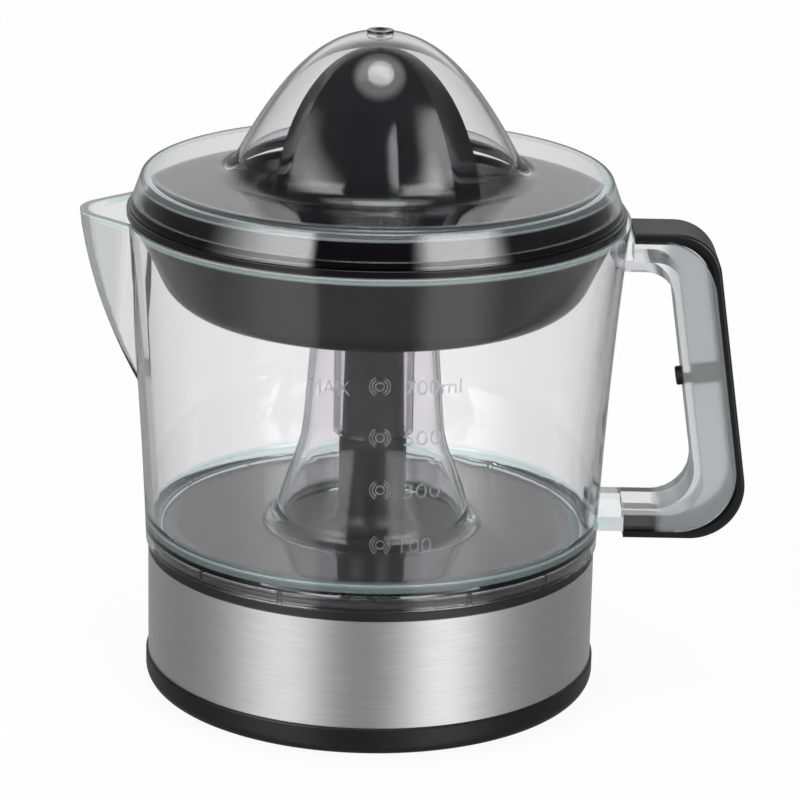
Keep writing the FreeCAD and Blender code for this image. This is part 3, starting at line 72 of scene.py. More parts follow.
class Body(str, Enum):
    """Bodies of the part that new pieces ride on."""

    JUG = "jug"
    COVER = "cover"
    CARRIAGE = "carriage"


class Slot(str, Enum):
    """Material slots of the record; no piece here takes its finish from them."""

    CLEAR = "clear_plastic"
    STEEL = "steel"


class Grain(Enum):
    """Which way the fine marks of a metal run."""

    ROUND = "round"
    SPECKLE = "speckle"


class Shader:
    """Node tree of one material, with short ways to add and join its nodes."""

    def __init__(self, name: str) -> None:
        """Start a material with nothing but its output.

        Args:
            name: Name of the material.
        """
        self.material = bpy.data.materials.new(name)
        self.material.use_nodes = True
        self.tree = self.material.node_tree
        self.tree.nodes.clear()
        self.output = self.add("ShaderNodeOutputMaterial")

    def add(self, kind: str, **settings: object) -> bpy.types.Node:
        """Add a node.

        Args:
            kind: Blender's name of the node type.
            settings: Values for the node's own properties.

        Returns:
            The new node.
        """
        node = self.tree.nodes.new(kind)
        for name, value in settings.items():
            setattr(node, name, value)
        return node

    def feed(self, socket: bpy.types.NodeSocket, value: object) -> None:
        """Join a socket to another one, or set its value.

        Args:
            socket: Input to feed.
            value: Output socket, or plain value.
        """
        if isinstance(value, bpy.types.NodeSocket):
            self.tree.links.new(value, socket)
        else:
            socket.default_value = value

    def surface(self, **inputs: object) -> bpy.types.Node:
        """Add the Principled shader that the material shows.

        Args:
            inputs: Values or sockets, by input name with underscores for spaces.

        Returns:
            The shader node.
        """
        node = self.add("ShaderNodeBsdfPrincipled")
        for name, value in inputs.items():
            self.feed(node.inputs[name.replace("_", " ")], value)
        self.feed(self.output.inputs["Surface"], node.outputs["BSDF"])
        return node

    def place(self) -> bpy.types.NodeSocket:
        """Position in the part's frame, in metres."""
        return self.add("ShaderNodeTexCoord").outputs["Object"]

    def stretched(self, vector: bpy.types.NodeSocket, scale: Colour) -> bpy.types.NodeSocket:
        """Position scaled by a different amount along each axis.

        Args:
            vector: Position.
            scale: Amount along X, Y and Z.

        Returns:
            The scaled position.
        """
        node = self.add("ShaderNodeMapping")
        self.feed(node.inputs["Vector"], vector)
        node.inputs["Scale"].default_value = scale
        return node.outputs["Vector"]

    def round_place(self) -> bpy.types.NodeSocket:
        """Position round the drive axis, as (turns, radius, height)."""
        parts = self.add("ShaderNodeSeparateXYZ")
        self.feed(parts.inputs["Vector"], self.place())
        turn = self.combined("ARCTAN2", parts.outputs["Y"], parts.outputs["X"])
        across = self.combined("MULTIPLY", parts.outputs["X"], parts.outputs["X"])
        along = self.combined("MULTIPLY", parts.outputs["Y"], parts.outputs["Y"])
        radius = self.combined("SQRT", self.combined("ADD", across, along), 0.0)
        joined = self.add("ShaderNodeCombineXYZ")
        self.feed(joined.inputs["X"], turn)
        self.feed(joined.inputs["Y"], radius)
        self.feed(joined.inputs["Z"], parts.outputs["Z"])
        return joined.outputs["Vector"]

    def combined(self, operation: str, first: object, second: object) -> bpy.types.NodeSocket:
        """Result of one operation on two values.

        Args:
            operation: Blender's name of the operation.
            first: Socket or number.
            second: Socket or number.

        Returns:
            The result.
        """
        node = self.add("ShaderNodeMath", operation=operation)
        self.feed(node.inputs[0], first)
        self.feed(node.inputs[1], second)
        return node.outputs["Value"]

    def noise(self, vector: bpy.types.NodeSocket, scale: float,
              detail: float = 3.0) -> bpy.types.NodeSocket:
        """Cloudy pattern from 0 to 1.

        Args:
            vector: Position.
            scale: Clouds in a metre.
            detail: Octaves of finer clouds.

        Returns:
            The pattern.
        """
        node = self.add("ShaderNodeTexNoise")
        self.feed(node.inputs["Vector"], vector)
        node.inputs["Scale"].default_value = scale
        node.inputs["Detail"].default_value = detail
        return node.outputs["Fac"]

    def between(self, pattern: bpy.types.NodeSocket, low: float, high: float) -> bpy.types.NodeSocket:
        """Pattern from 0 to 1 brought between two values.

        Args:
            pattern: Pattern.
            low: Value at 0.
            high: Value at 1.

        Returns:
            The value.
        """
        node = self.add("ShaderNodeMapRange")
        self.feed(node.inputs["Value"], pattern)
        node.inputs["To Min"].default_value = low
        node.inputs["To Max"].default_value = high
        return node.outputs["Result"]

    def within(self, value: bpy.types.NodeSocket, low: float, high: float,
               fade: float) -> bpy.types.NodeSocket:
        """1 where a value lies between two limits, fading to 0 outside them.

        Args:
            value: Value.
            low: Lower limit.
            high: Upper limit.
            fade: Distance over which it fades.

        Returns:
            The mask.
        """
        sides = []
        for edge, limit in ((low - fade, low), (high + fade, high)):
            node = self.add("ShaderNodeMapRange")
            self.feed(node.inputs["Value"], value)
            node.inputs["From Min"].default_value = edge
            node.inputs["From Max"].default_value = limit
            sides.append(node.outputs["Result"])
        return self.combined("MULTIPLY", *sides)

    def tinted(self, pattern: bpy.types.NodeSocket, dark: Colour | bpy.types.NodeSocket,
               light: Colour) -> bpy.types.NodeSocket:
        """Colour between two colours.

        Args:
            pattern: Pattern from 0 to 1.
            dark: Colour at 0, or the socket that gives it.
            light: Colour at 1.

        Returns:
            The colour.
        """
        node = self.add("ShaderNodeMix", data_type="RGBA")
        self.feed(node.inputs["Factor"], pattern)
        self.feed(node.inputs["A"], dark if isinstance(dark, bpy.types.NodeSocket) else (*dark, 1.0))
        node.inputs["B"].default_value = (*light, 1.0)
        return node.outputs["Result"]

    def bumped(self, height: bpy.types.NodeSocket, depth: float) -> bpy.types.NodeSocket:
        """Surface direction over a relief.

        Args:
            height: Relief from 0 to 1.
            depth: Height of the relief in metres.

        Returns:
            The direction.
        """
        node = self.add("ShaderNodeBump")
        node.inputs["Distance"].default_value = depth
        self.feed(node.inputs["Height"], height)
        return node.outputs["Normal"]


class Finish(ABC):
    """A surface finish that makes its own material."""

    @abstractmethod
    def make(self) -> bpy.types.Material:
        """Make the material."""


@functools.cache
def material_of(finish: Finish) -> bpy.types.Material:
    """Material of a finish, made once.

    Args:
        finish: Finish.

    Returns:
        Its material.
    """
    return finish.make()


@dataclass(frozen=True)
class Zone:
    """Zone of a clear moulding, by its heights, radii and X, with a tint, milkiness, haze and index shift
    laid over it; the tints are painted edge glow, painted highlight lines and painted shade.
    """

    heights: tuple[float, float]
    radii: tuple[float, float]
    # Default tint and milk: a milky green band, painted edge glow.
    tint: Colour = (0.72, 0.89, 0.85)
    milk: float = 0.16
    haze: float = 0.0
    fade: float = 0.35 * MM
    index_shift: float = 0.0
    across: tuple[float, float] = (-FAR, FAR)


@dataclass(frozen=True)
class ClearPlastic(Finish):
    """Polished clear moulding, with faint flow waves, a green tint that its depth gives along its edges, and
    zones that paint edge glow, highlight lines and shade onto it.
    """

    name: str
    zones: tuple[Zone, ...]
    tint: Colour = (0.944, 0.932, 0.94)
    roughness: tuple[float, float] = (0.004, 0.03)
    index: float = 1.5
    edge_tint: Colour = (0.7, 0.93, 0.88)
    depth: float = 12.0
    waves: float = 26.0
    wave_depth: float = 0.00003
    wave_detail: float = 1.0

    def make(self) -> bpy.types.Material:
        """Make the material."""
        shader = Shader(self.name)
        flow = shader.noise(shader.place(), self.waves, self.wave_detail)
        spot = shader.add("ShaderNodeSeparateXYZ")
        shader.feed(spot.inputs["Vector"], shader.round_place())
        side = shader.add("ShaderNodeSeparateXYZ")
        shader.feed(side.inputs["Vector"], shader.place())
        tint = self.tint
        clear = 1.0
        index = self.index
        rough = shader.between(flow, *self.roughness)
        # Each zone lays its tint and milk over the plastic, which paints edge glow, highlight lines and
        # shade; its index shift dims reflections.
        for zone in self.zones:
            tall = shader.within(spot.outputs["Z"], *zone.heights, zone.fade)
            wide = shader.within(spot.outputs["Y"], *zone.radii, zone.fade)
            along = shader.within(side.outputs["X"], *zone.across, zone.fade)
            mask = shader.combined("MULTIPLY", shader.combined("MULTIPLY", tall, wide), along)
            tint = shader.tinted(mask, tint, zone.tint)
            clear = shader.combined("MULTIPLY", shader.between(mask, 1.0, 1.0 - zone.milk), clear)
            rough = shader.combined("ADD", shader.between(mask, 0.0, zone.haze), rough)
            index = shader.combined("ADD", shader.between(mask, 0.0, zone.index_shift), index)
        shader.surface(
            Base_Color=tint, Transmission_Weight=clear, IOR=index,
            Roughness=rough, Normal=shader.bumped(flow, self.wave_depth))
        inside = shader.add("ShaderNodeVolumeAbsorption")
        inside.inputs["Color"].default_value = (*self.edge_tint, 1.0)
        inside.inputs["Density"].default_value = self.depth
        shader.feed(shader.output.inputs["Volume"], inside.outputs["Volume"])
        return shader.material


@dataclass(frozen=True)
class Frosted(Finish):
    """Raised lettering on clear plastic, slightly clouded."""

    name: str
    dark: Colour = (0.74, 0.76, 0.76)
    light: Colour = (0.9, 0.92, 0.92)
    clouds: float = 900.0
    clearness: float = 0.92
    index: float = 1.4
    roughness: tuple[float, float] = (0.1, 0.22)

    def make(self) -> bpy.types.Material:
        """Make the material."""
        shader = Shader(self.name)
        cloud = shader.noise(shader.place(), self.clouds)
        shader.surface(
            Base_Color=shader.tinted(cloud, self.dark, self.light), Transmission_Weight=self.clearness,
            IOR=self.index, Roughness=shader.between(cloud, *self.roughness))
        return shader.material


@dataclass(frozen=True)
class Moulding(Finish):
    """Coloured moulded plastic: colour that varies a little, fine skin grain and slow flow marks."""

    name: str
    dark: Colour
    light: Colour
    roughness: tuple[float, float]
    grain: float = 2600.0
    grain_depth: float = 0.000004
    flow: float = 35.0
    gloss: float = 0.5
    index: float = 1.5
    detail: float = 2.0

    def make(self) -> bpy.types.Material:
        """Make the material."""
        shader = Shader(self.name)
        place = shader.place()
        flow = shader.noise(place, self.flow, self.detail)
        skin = shader.noise(place, self.grain, self.detail)
        shader.surface(
            Base_Color=shader.tinted(flow, self.dark, self.light), IOR=self.index,
            Roughness=shader.between(flow, *self.roughness), Specular_IOR_Level=self.gloss,
            Normal=shader.bumped(skin, self.grain_depth))
        return shader.material


@dataclass(frozen=True)
class BrushedSteel(Finish):
    """Steel sheet brushed round the base, with fine lines of different length and depth."""

    name: str
    dark: Colour = (0.66, 0.66, 0.665)
    light: Colour = (0.86, 0.86, 0.865)
    roughness: tuple[float, float] = (0.26, 0.36)
    line_height: float = 9000.0
    line_reach: float = 5.0
    line_depth: float = 0.000012
    line_detail: float = 4.0
    band_height: float = 1500.0
    band_detail: float = 2.0
    stretch: float = 0.75

    def make(self) -> bpy.types.Material:
        """Make the material."""
        shader = Shader(self.name)
        around = shader.stretched(shader.round_place(), (self.line_reach, 1.0, self.line_height))
        lines = shader.noise(around, 1.0, self.line_detail)
        broad = shader.stretched(shader.round_place(), (self.line_reach, 1.0, self.band_height))
        bands = shader.noise(broad, 1.0, self.band_detail)
        steel = shader.surface(
            Base_Color=shader.tinted(bands, self.dark, self.light), Metallic=1.0, Anisotropic=self.stretch,
            Roughness=shader.between(lines, *self.roughness), Normal=shader.bumped(lines, self.line_depth))
        way = shader.add("ShaderNodeTangent", direction_type="RADIAL", axis="Z")
        shader.feed(steel.inputs["Tangent"], way.outputs["Tangent"])
        return shader.material


@dataclass(frozen=True)
class Metal(Finish):
    """Plain metal, turned or plated, with fine tool marks or a speckle and a little dulling."""

    name: str
    dark: Colour
    light: Colour
    roughness: tuple[float, float]
    grain: Grain = Grain.SPECKLE
    marks: float = 2400.0
    mark_depth: float = 0.000006
    mark_reach: float = 40.0
    stains: float = 120.0

    def make(self) -> bpy.types.Material:
        """Make the material."""
        shader = Shader(self.name)
        place = shader.place()
        if self.grain is Grain.ROUND:
            marks = shader.noise(shader.stretched(place, (self.mark_reach, self.mark_reach, self.marks)), 1.0)
        else:
            marks = shader.noise(place, self.marks)
        stain = shader.noise(place, self.stains)
        shader.surface(
            Base_Color=shader.tinted(stain, self.dark, self.light), Metallic=1.0,
            Roughness=shader.between(marks, *self.roughness), Normal=shader.bumped(marks, self.mark_depth))
        return shader.material


@dataclass(frozen=True)
class Laminations(Finish):
    """Stack of thin varnished steel sheets, seen as fine level lines."""

    name: str
    dark: Colour = (0.06, 0.06, 0.065)
    light: Colour = (0.22, 0.22, 0.23)
    sheet: float = 0.0005
    roughness: tuple[float, float] = (0.6, 0.35)
    metal: float = 0.8
    waver: float = 0.6
    relief: float = 0.0000625

    def make(self) -> bpy.types.Material:
        """Make the material."""
        shader = Shader(self.name)
        wave = shader.add("ShaderNodeTexWave", bands_direction="Z", wave_profile="SIN")
        shader.feed(wave.inputs["Vector"], shader.place())
        wave.inputs["Scale"].default_value = math.pi / (10 * self.sheet)
        wave.inputs["Distortion"].default_value = self.waver
        lines = wave.outputs["Fac"]
        shader.surface(
            Base_Color=shader.tinted(lines, self.dark, self.light), Metallic=self.metal,
            Roughness=shader.between(lines, *self.roughness), Normal=shader.bumped(lines, self.relief))
        return shader.material


@dataclass(frozen=True)
class Rubber(Finish):
    """Dull black rubber with a dusty, pitted skin."""

    name: str
    dark: Colour = (0.012, 0.012, 0.012)
    light: Colour = (0.032, 0.031, 0.03)
    roughness: tuple[float, float] = (0.6, 0.85)
    index: float = 1.45
    dust: float = 180.0
    dust_detail: float = 5.0
    pits: float = 1500.0
    pit_depth: float = 0.00002

    def make(self) -> bpy.types.Material:
        """Make the material."""
        shader = Shader(self.name)
        place = shader.place()
        dust = shader.noise(place, self.dust, self.dust_detail)
        shader.surface(
            Base_Color=shader.tinted(dust, self.dark, self.light), IOR=self.index,
            Roughness=shader.between(dust, *self.roughness),
            Normal=shader.bumped(shader.noise(place, self.pits), self.pit_depth))
        return shader.material


# Handle: the grey tint is painted shade of the black grip seen through the channel walls; haze and milk frost
# it.
HANDLE_FROST_AND_PAINTED_SHADE = Zone(
    (40 * MM, 150 * MM), (89 * MM, 130 * MM), (0.68, 0.675, 0.685), milk=0.14, haze=0.2, fade=3 * MM,
    across=(0.0, FAR))
# Spout: grey tint, painted shade on the spout side.
SPOUT_PAINTED_SHADE = Zone(
    (60 * MM, 160 * MM), (77 * MM, 130 * MM), (0.842, 0.838, 0.84), milk=0.0, across=(-FAR, 0.0))
# Lip: milky green band, painted edge glow along the rim's top.
LIP_PAINTED_EDGE_GLOW = Zone((147.7 * MM, 160 * MM), (72 * MM, 130 * MM), (0.78, 0.84, 0.82), milk=0.3)
COLUMN_ZONE = Zone(
    (57 * MM, 140 * MM), (0.0, 36 * MM), (0.944, 0.932, 0.94), milk=0.0, fade=3 * MM, index_shift=-0.25)
# Rim: thin milky green line, painted edge glow below the rim.
RIM_PAINTED_EDGE_GLOW = Zone((146.4 * MM, 147.1 * MM), (70 * MM, 82 * MM))
# Foot: milky green ring, painted edge glow round the jug's floor.
FOOT_PAINTED_EDGE_GLOW = Zone((53.2 * MM, 55.4 * MM), (60 * MM, 72 * MM), milk=0.12)
JUG_CLEAR = ClearPlastic("clear_jug", (HANDLE_FROST_AND_PAINTED_SHADE, SPOUT_PAINTED_SHADE, LIP_PAINTED_EDGE_GLOW, COLUMN_ZONE, RIM_PAINTED_EDGE_GLOW, FOOT_PAINTED_EDGE_GLOW))

# Cover's corner: milky green band, painted edge glow over the rounded brim.
CORNER_PAINTED_EDGE_GLOW = Zone((158.0 * MM, 162 * MM), (67.0 * MM, 72 * MM), (0.84, 0.92, 0.91), milk=0.05)
# Two milky green lines at the ends of the corner's rounding: painted highlight lines.
LOWER_PAINTED_HIGHLIGHT_LINE = Zone((157.7 * MM, 158.1 * MM), (69 * MM, 72 * MM))
UPPER_PAINTED_HIGHLIGHT_LINE = Zone((160.4 * MM, 162 * MM), (66.6 * MM, 67.1 * MM))
COVER_CLEAR = ClearPlastic("clear_cover", (CORNER_PAINTED_EDGE_GLOW, LOWER_PAINTED_HIGHLIGHT_LINE, UPPER_PAINTED_HIGHLIGHT_LINE))

LETTERING = Frosted("raised_lettering")
CHARCOAL = Moulding("charcoal_gloss", (0.006, 0.0058, 0.0066), (0.009, 0.0087, 0.0098), (0.07, 0.12))
STRAINER = Moulding(
    "strainer_charcoal", (0.005, 0.0048, 0.0055), (0.007, 0.0068, 0.0076), (0.07, 0.12), gloss=0.3)
BLACK = Moulding(
    "black_satin", (0.005, 0.005, 0.0054), (0.008, 0.008, 0.0084), (0.3, 0.42), 1900.0, 0.000009, gloss=0.3)
DECK = Moulding(
    "deck_black", (0.007, 0.0068, 0.0076), (0.011, 0.0106, 0.0116), (0.3, 0.42), 1900.0, 0.000009, gloss=0.4)
NATURAL = Moulding("bobbin_natural", (0.66, 0.63, 0.55), (0.74, 0.71, 0.63), (0.4, 0.55))
NYLON = Moulding("gear_nylon", (0.76, 0.75, 0.69), (0.84, 0.83, 0.78), (0.35, 0.5))
SWITCH_BLACK = Moulding("switch_black", (0.03, 0.03, 0.032), (0.05, 0.05, 0.052), (0.4, 0.55))
BUTTON_RED = Moulding("button_red", (0.42, 0.05, 0.04), (0.55, 0.08, 0.06), (0.35, 0.45))
BAND_STEEL = BrushedSteel("band_steel")
TURNED_STEEL = Metal("turned_steel", (0.48, 0.48, 0.48), (0.62, 0.62, 0.62), (0.18, 0.34), Grain.ROUND)
BLACKED = Metal("blacked_steel", (0.035, 0.035, 0.036), (0.06, 0.06, 0.062), (0.35, 0.5))
ZINC = Metal("zinc_plate", (0.5, 0.51, 0.53), (0.66, 0.66, 0.67), (0.3, 0.5))
BRONZE = Metal("sintered_bronze", (0.44, 0.29, 0.13), (0.6, 0.42, 0.2), (0.4, 0.6))
FERRITE = Metal("ground_ferrite", (0.06, 0.06, 0.065), (0.11, 0.11, 0.115), (0.45, 0.65), Grain.ROUND)
COPPER = Metal("enamelled_copper", (0.5, 0.2, 0.08), (0.68, 0.32, 0.14), (0.18, 0.3))
CORE = Laminations("core_sheets")
RUBBER = Rubber("foot_rubber")


def piece_of(name: str, mesh: bpy.types.Mesh, finish: Finish, body: Body) -> bpy.types.Object:
    """Make a new piece that rides on a body.

    Args:
        name: Name of the piece.
        mesh: Its mesh, in the part's frame.
        finish: Its finish.
        body: Body that it moves with.

    Returns:
        The piece.
    """
    mesh.materials.clear()
    mesh.materials.append(material_of(finish))
    piece = bpy.data.objects.new(name, mesh)
    bpy.context.scene.collection.objects.link(piece)
    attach(piece, body.value)
    LOG.info("made %s on %s", name, body.value)
    return piece


def mesh_from(build: bmesh.types.BMesh, name: str, smooth: float | None = None) -> bpy.types.Mesh:
    """Turn an edited mesh into a finished one.

    Args:
        build: Edited mesh, which is freed.
        name: Name of the mesh.
        smooth: Angle in degrees up to which edges are shaded smooth, or None for flat faces.

    Returns:
        The mesh.
    """
    bmesh.ops.remove_doubles(build, verts=build.verts, dist=1e-7)
    bmesh.ops.recalc_face_normals(build, faces=build.faces)
    mesh = bpy.data.meshes.new(name)
    build.to_mesh(mesh)
    build.free()
    if smooth is not None:
        mesh.shade_smooth()
        mesh.set_sharp_from_angle(angle=math.radians(smooth))
    return mesh


def bend(poles: list[tuple[float, float]], steps: int) -> list[tuple[float, float]]:
    """Points along the curve that a few poles give.

    Args:
        poles: Poles, as (r, z), from the curve's start to its end.
        steps: Number of steps between its ends.

    Returns:
        The points, with both ends.
    """
    points = []
    for i in range(steps + 1):
        level = poles
        share = i / steps
        while len(level) > 1:
            level = [tuple(a + (b - a) * share for a, b in zip(*pair)) for pair in zip(level, level[1:])]
        points.append(level[0])
    return points


def turned(profile: list[tuple[float, float]], around: int, name: str) -> bpy.types.Mesh:
    """Smooth mesh of revolution about the drive axis.

    Args:
        profile: Outline, as (r, z).
        around: Number of steps round the axis.
        name: Name of the mesh.

    Returns:
        The mesh.
    """
    build = bmesh.new()
    points = [build.verts.new((r, 0, z)) for r, z in profile]
    edges = [build.edges.new(pair) for pair in zip(points, points[1:])]
    bmesh.ops.spin(build, geom=points + edges, cent=(0, 0, 0), axis=(0, 0, 1), angle=math.tau, steps=around,
                   use_merge=True)
    return mesh_from(build, name, SMOOTH_ANGLE)


def let_light_through(piece: bpy.types.Object) -> None:
    """Keep a clear piece from darkening what stands behind or under it.

    Args:
        piece: Clear piece.
    """
    piece.visible_shadow = False
    piece.visible_diffuse = False


class SubAssembly(ABC):
    """A group of solids and new pieces that are made and finished together."""

    @abstractmethod
    def finishes(self) -> dict[str, Finish]:
        """Finish of each solid, by its node's name."""

    def build(self) -> None:
        """Make the group's new pieces, where it has any."""

    def dress(self) -> None:
        """Give the group's solids their finishes."""
        for node, finish in self.finishes().items():
            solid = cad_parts[node]
            solid.data.materials.clear()
            solid.data.materials.append(material_of(finish))
            if isinstance(finish, ClearPlastic):
                let_light_through(solid)
            LOG.info("dressed %s as %s", node, material_of(finish).name)


@dataclass
class Softbox:
    """Bright patch of the studio: where it starts, is full, starts to fade and ends, in degrees.

    Azimuth is measured from the camera's side towards the handle, and elevation up from level.
    """

    azimuth: Span
    elevation: Span
    level: float
    both_sides: bool = False


@dataclass
class Studio:
    """White table, soft light from both sides of the camera and from above, and the camera."""

    camera_place: Colour = (0.0, -1.0141, 0.4069)
    pitch: float = 17.36
    yaw: float = 0.45
    roll: float = 1.2
    lens: float = 158.24
    sensor: float = 36.0
    floor_size: float = 12.0
    floor_colour: Colour = (0.95, 0.95, 0.95)
    floor_shade: float = 0.07
    floor_mirrored: Colour = (0.5, 0.5, 0.5)
    floor_gap: float = 0.05 * MM
    top_size: float = 0.42
    top_place: Colour = (0.02, -0.04, 1.25)
    top_aim: Colour = (0.0, 0.0, 0.1)
    top_power: float = 1.6
    ambient: float = 0.1
    below: float = 0.2
    horizon: tuple[float, float] = (4.0, -14.0)
    softboxes: list[Softbox] = field(default_factory=lambda: [
        Softbox((-88, -44, -34, -28), (-10, 8, 32, 44), 6.4),
        Softbox((16, 29, 50, 68), (-10, 8, 32, 44), 6.4),
        Softbox((-80, -42, -30, -24), (-75, -45, -12, 6), 1.1),
        Softbox((16, 29, 42, 66), (-75, -45, -12, 6), 1.3),
        Softbox((105, 150, 181, 182), (-60, -20, 30, 60), 0.12, True),
        Softbox((125, 165, 181, 182), (4, 12, 34, 46), 0.5, True),
        Softbox((-182, -181, 181, 182), (66, 73, 91, 92), 1.6)])
    gap: Softbox = field(default_factory=lambda: Softbox((-34, -26, 14, 20), (-40, -10, 34, 46), 0.95))

    def build(self) -> None:
        """Make the floor, the world, the lamp and the camera."""
        bpy.context.scene.view_settings.view_transform = "Standard"
        self.make_camera()
        self.make_floor()
        self.make_world()
        self.make_lamp()

    def make_camera(self) -> None:
        """Stand the camera at the photograph's viewpoint."""
        lens = bpy.data.cameras.new("camera")
        lens.lens = self.lens
        lens.sensor_width = self.sensor
        camera = bpy.data.objects.new("camera", lens)
        turn = Matrix.Rotation(-math.radians(self.yaw), 4, "Z")
        tilt = Matrix.Rotation(math.radians(90 - self.pitch), 4, "X")
        lean = Matrix.Rotation(math.radians(self.roll), 4, "Z")
        camera.matrix_world = Matrix.Translation(self.camera_place) @ turn @ tilt @ lean
        bpy.context.scene.collection.objects.link(camera)
        bpy.context.scene.camera = camera

    def make_floor(self) -> None:
        """Lay the white table top, which keeps a soft shadow and lets the underside be seen from below."""
        build = bmesh.new()
        bmesh.ops.create_grid(build, x_segments=1, y_segments=1, size=self.floor_size / 2)
        mesh = mesh_from(build, "table_top")
        shader = Shader("white_table")
        lit = shader.add("ShaderNodeBsdfDiffuse")
        lit.inputs["Color"].default_value = (*self.floor_colour, 1.0)
        white = shader.add("ShaderNodeEmission")
        shown = shader.add("ShaderNodeMixShader")
        shown.inputs["Fac"].default_value = self.floor_shade
        shader.feed(shown.inputs[1], white.outputs["Emission"])
        shader.feed(shown.inputs[2], lit.outputs["BSDF"])
        path = shader.add("ShaderNodeLightPath")
        seen = shader.combined("MAXIMUM", path.outputs["Is Camera Ray"], path.outputs["Is Transmission Ray"])
        pick = shader.add("ShaderNodeMixShader")
        shader.feed(pick.inputs["Fac"], seen)
        shader.feed(pick.inputs[1], lit.outputs["BSDF"])
        shader.feed(pick.inputs[2], shown.outputs["Shader"])
        dim = shader.add("ShaderNodeBsdfDiffuse")
        dim.inputs["Color"].default_value = (*self.floor_mirrored, 1.0)
        whole = shader.add("ShaderNodeMixShader")
        shader.feed(whole.inputs["Fac"], shader.combined("MINIMUM", path.outputs["Glossy Depth"], 1.0))
        shader.feed(whole.inputs[1], pick.outputs["Shader"])
        shader.feed(whole.inputs[2], dim.outputs["BSDF"])
        under = shader.add("ShaderNodeMixShader")
        shader.feed(under.inputs["Fac"], shader.add("ShaderNodeNewGeometry").outputs["Backfacing"])
        shader.feed(under.inputs[1], whole.outputs["Shader"])
        shader.feed(under.inputs[2], shader.add("ShaderNodeBsdfTransparent").outputs["BSDF"])
        shader.feed(shader.output.inputs["Surface"], under.outputs["Shader"])
        mesh.materials.append(shader.material)
        floor = bpy.data.objects.new("table_top", mesh)
        floor.location.z = -self.floor_gap
        floor.visible_glossy = False
        bpy.context.scene.collection.objects.link(floor)

    def make_world(self) -> None:
        """Surround the table with the studio's softboxes, and with white for the camera."""
        world = bpy.data.worlds.new("studio")
        world.use_nodes = True
        bpy.context.scene.world = world
        sky = SkyTree(world.node_tree)
        room = sky.room(self.ambient, self.below, self.horizon)
        sky.finish(sky.level(room, self.softboxes, self.gap))

    def make_lamp(self) -> None:
        """Hang the overhead softbox."""
        light = bpy.data.lights.new("top_softbox", "AREA")
        light.shape = "DISK"
        light.size = self.top_size
        light.energy = self.top_power
        lamp = bpy.data.objects.new("top_softbox", light)
        aim = Vector(self.top_aim) - Vector(self.top_place)
        turn = aim.to_track_quat("-Z", "Y").to_matrix().to_4x4()
        lamp.matrix_world = Matrix.Translation(self.top_place) @ turn
        bpy.context.scene.collection.objects.link(lamp)


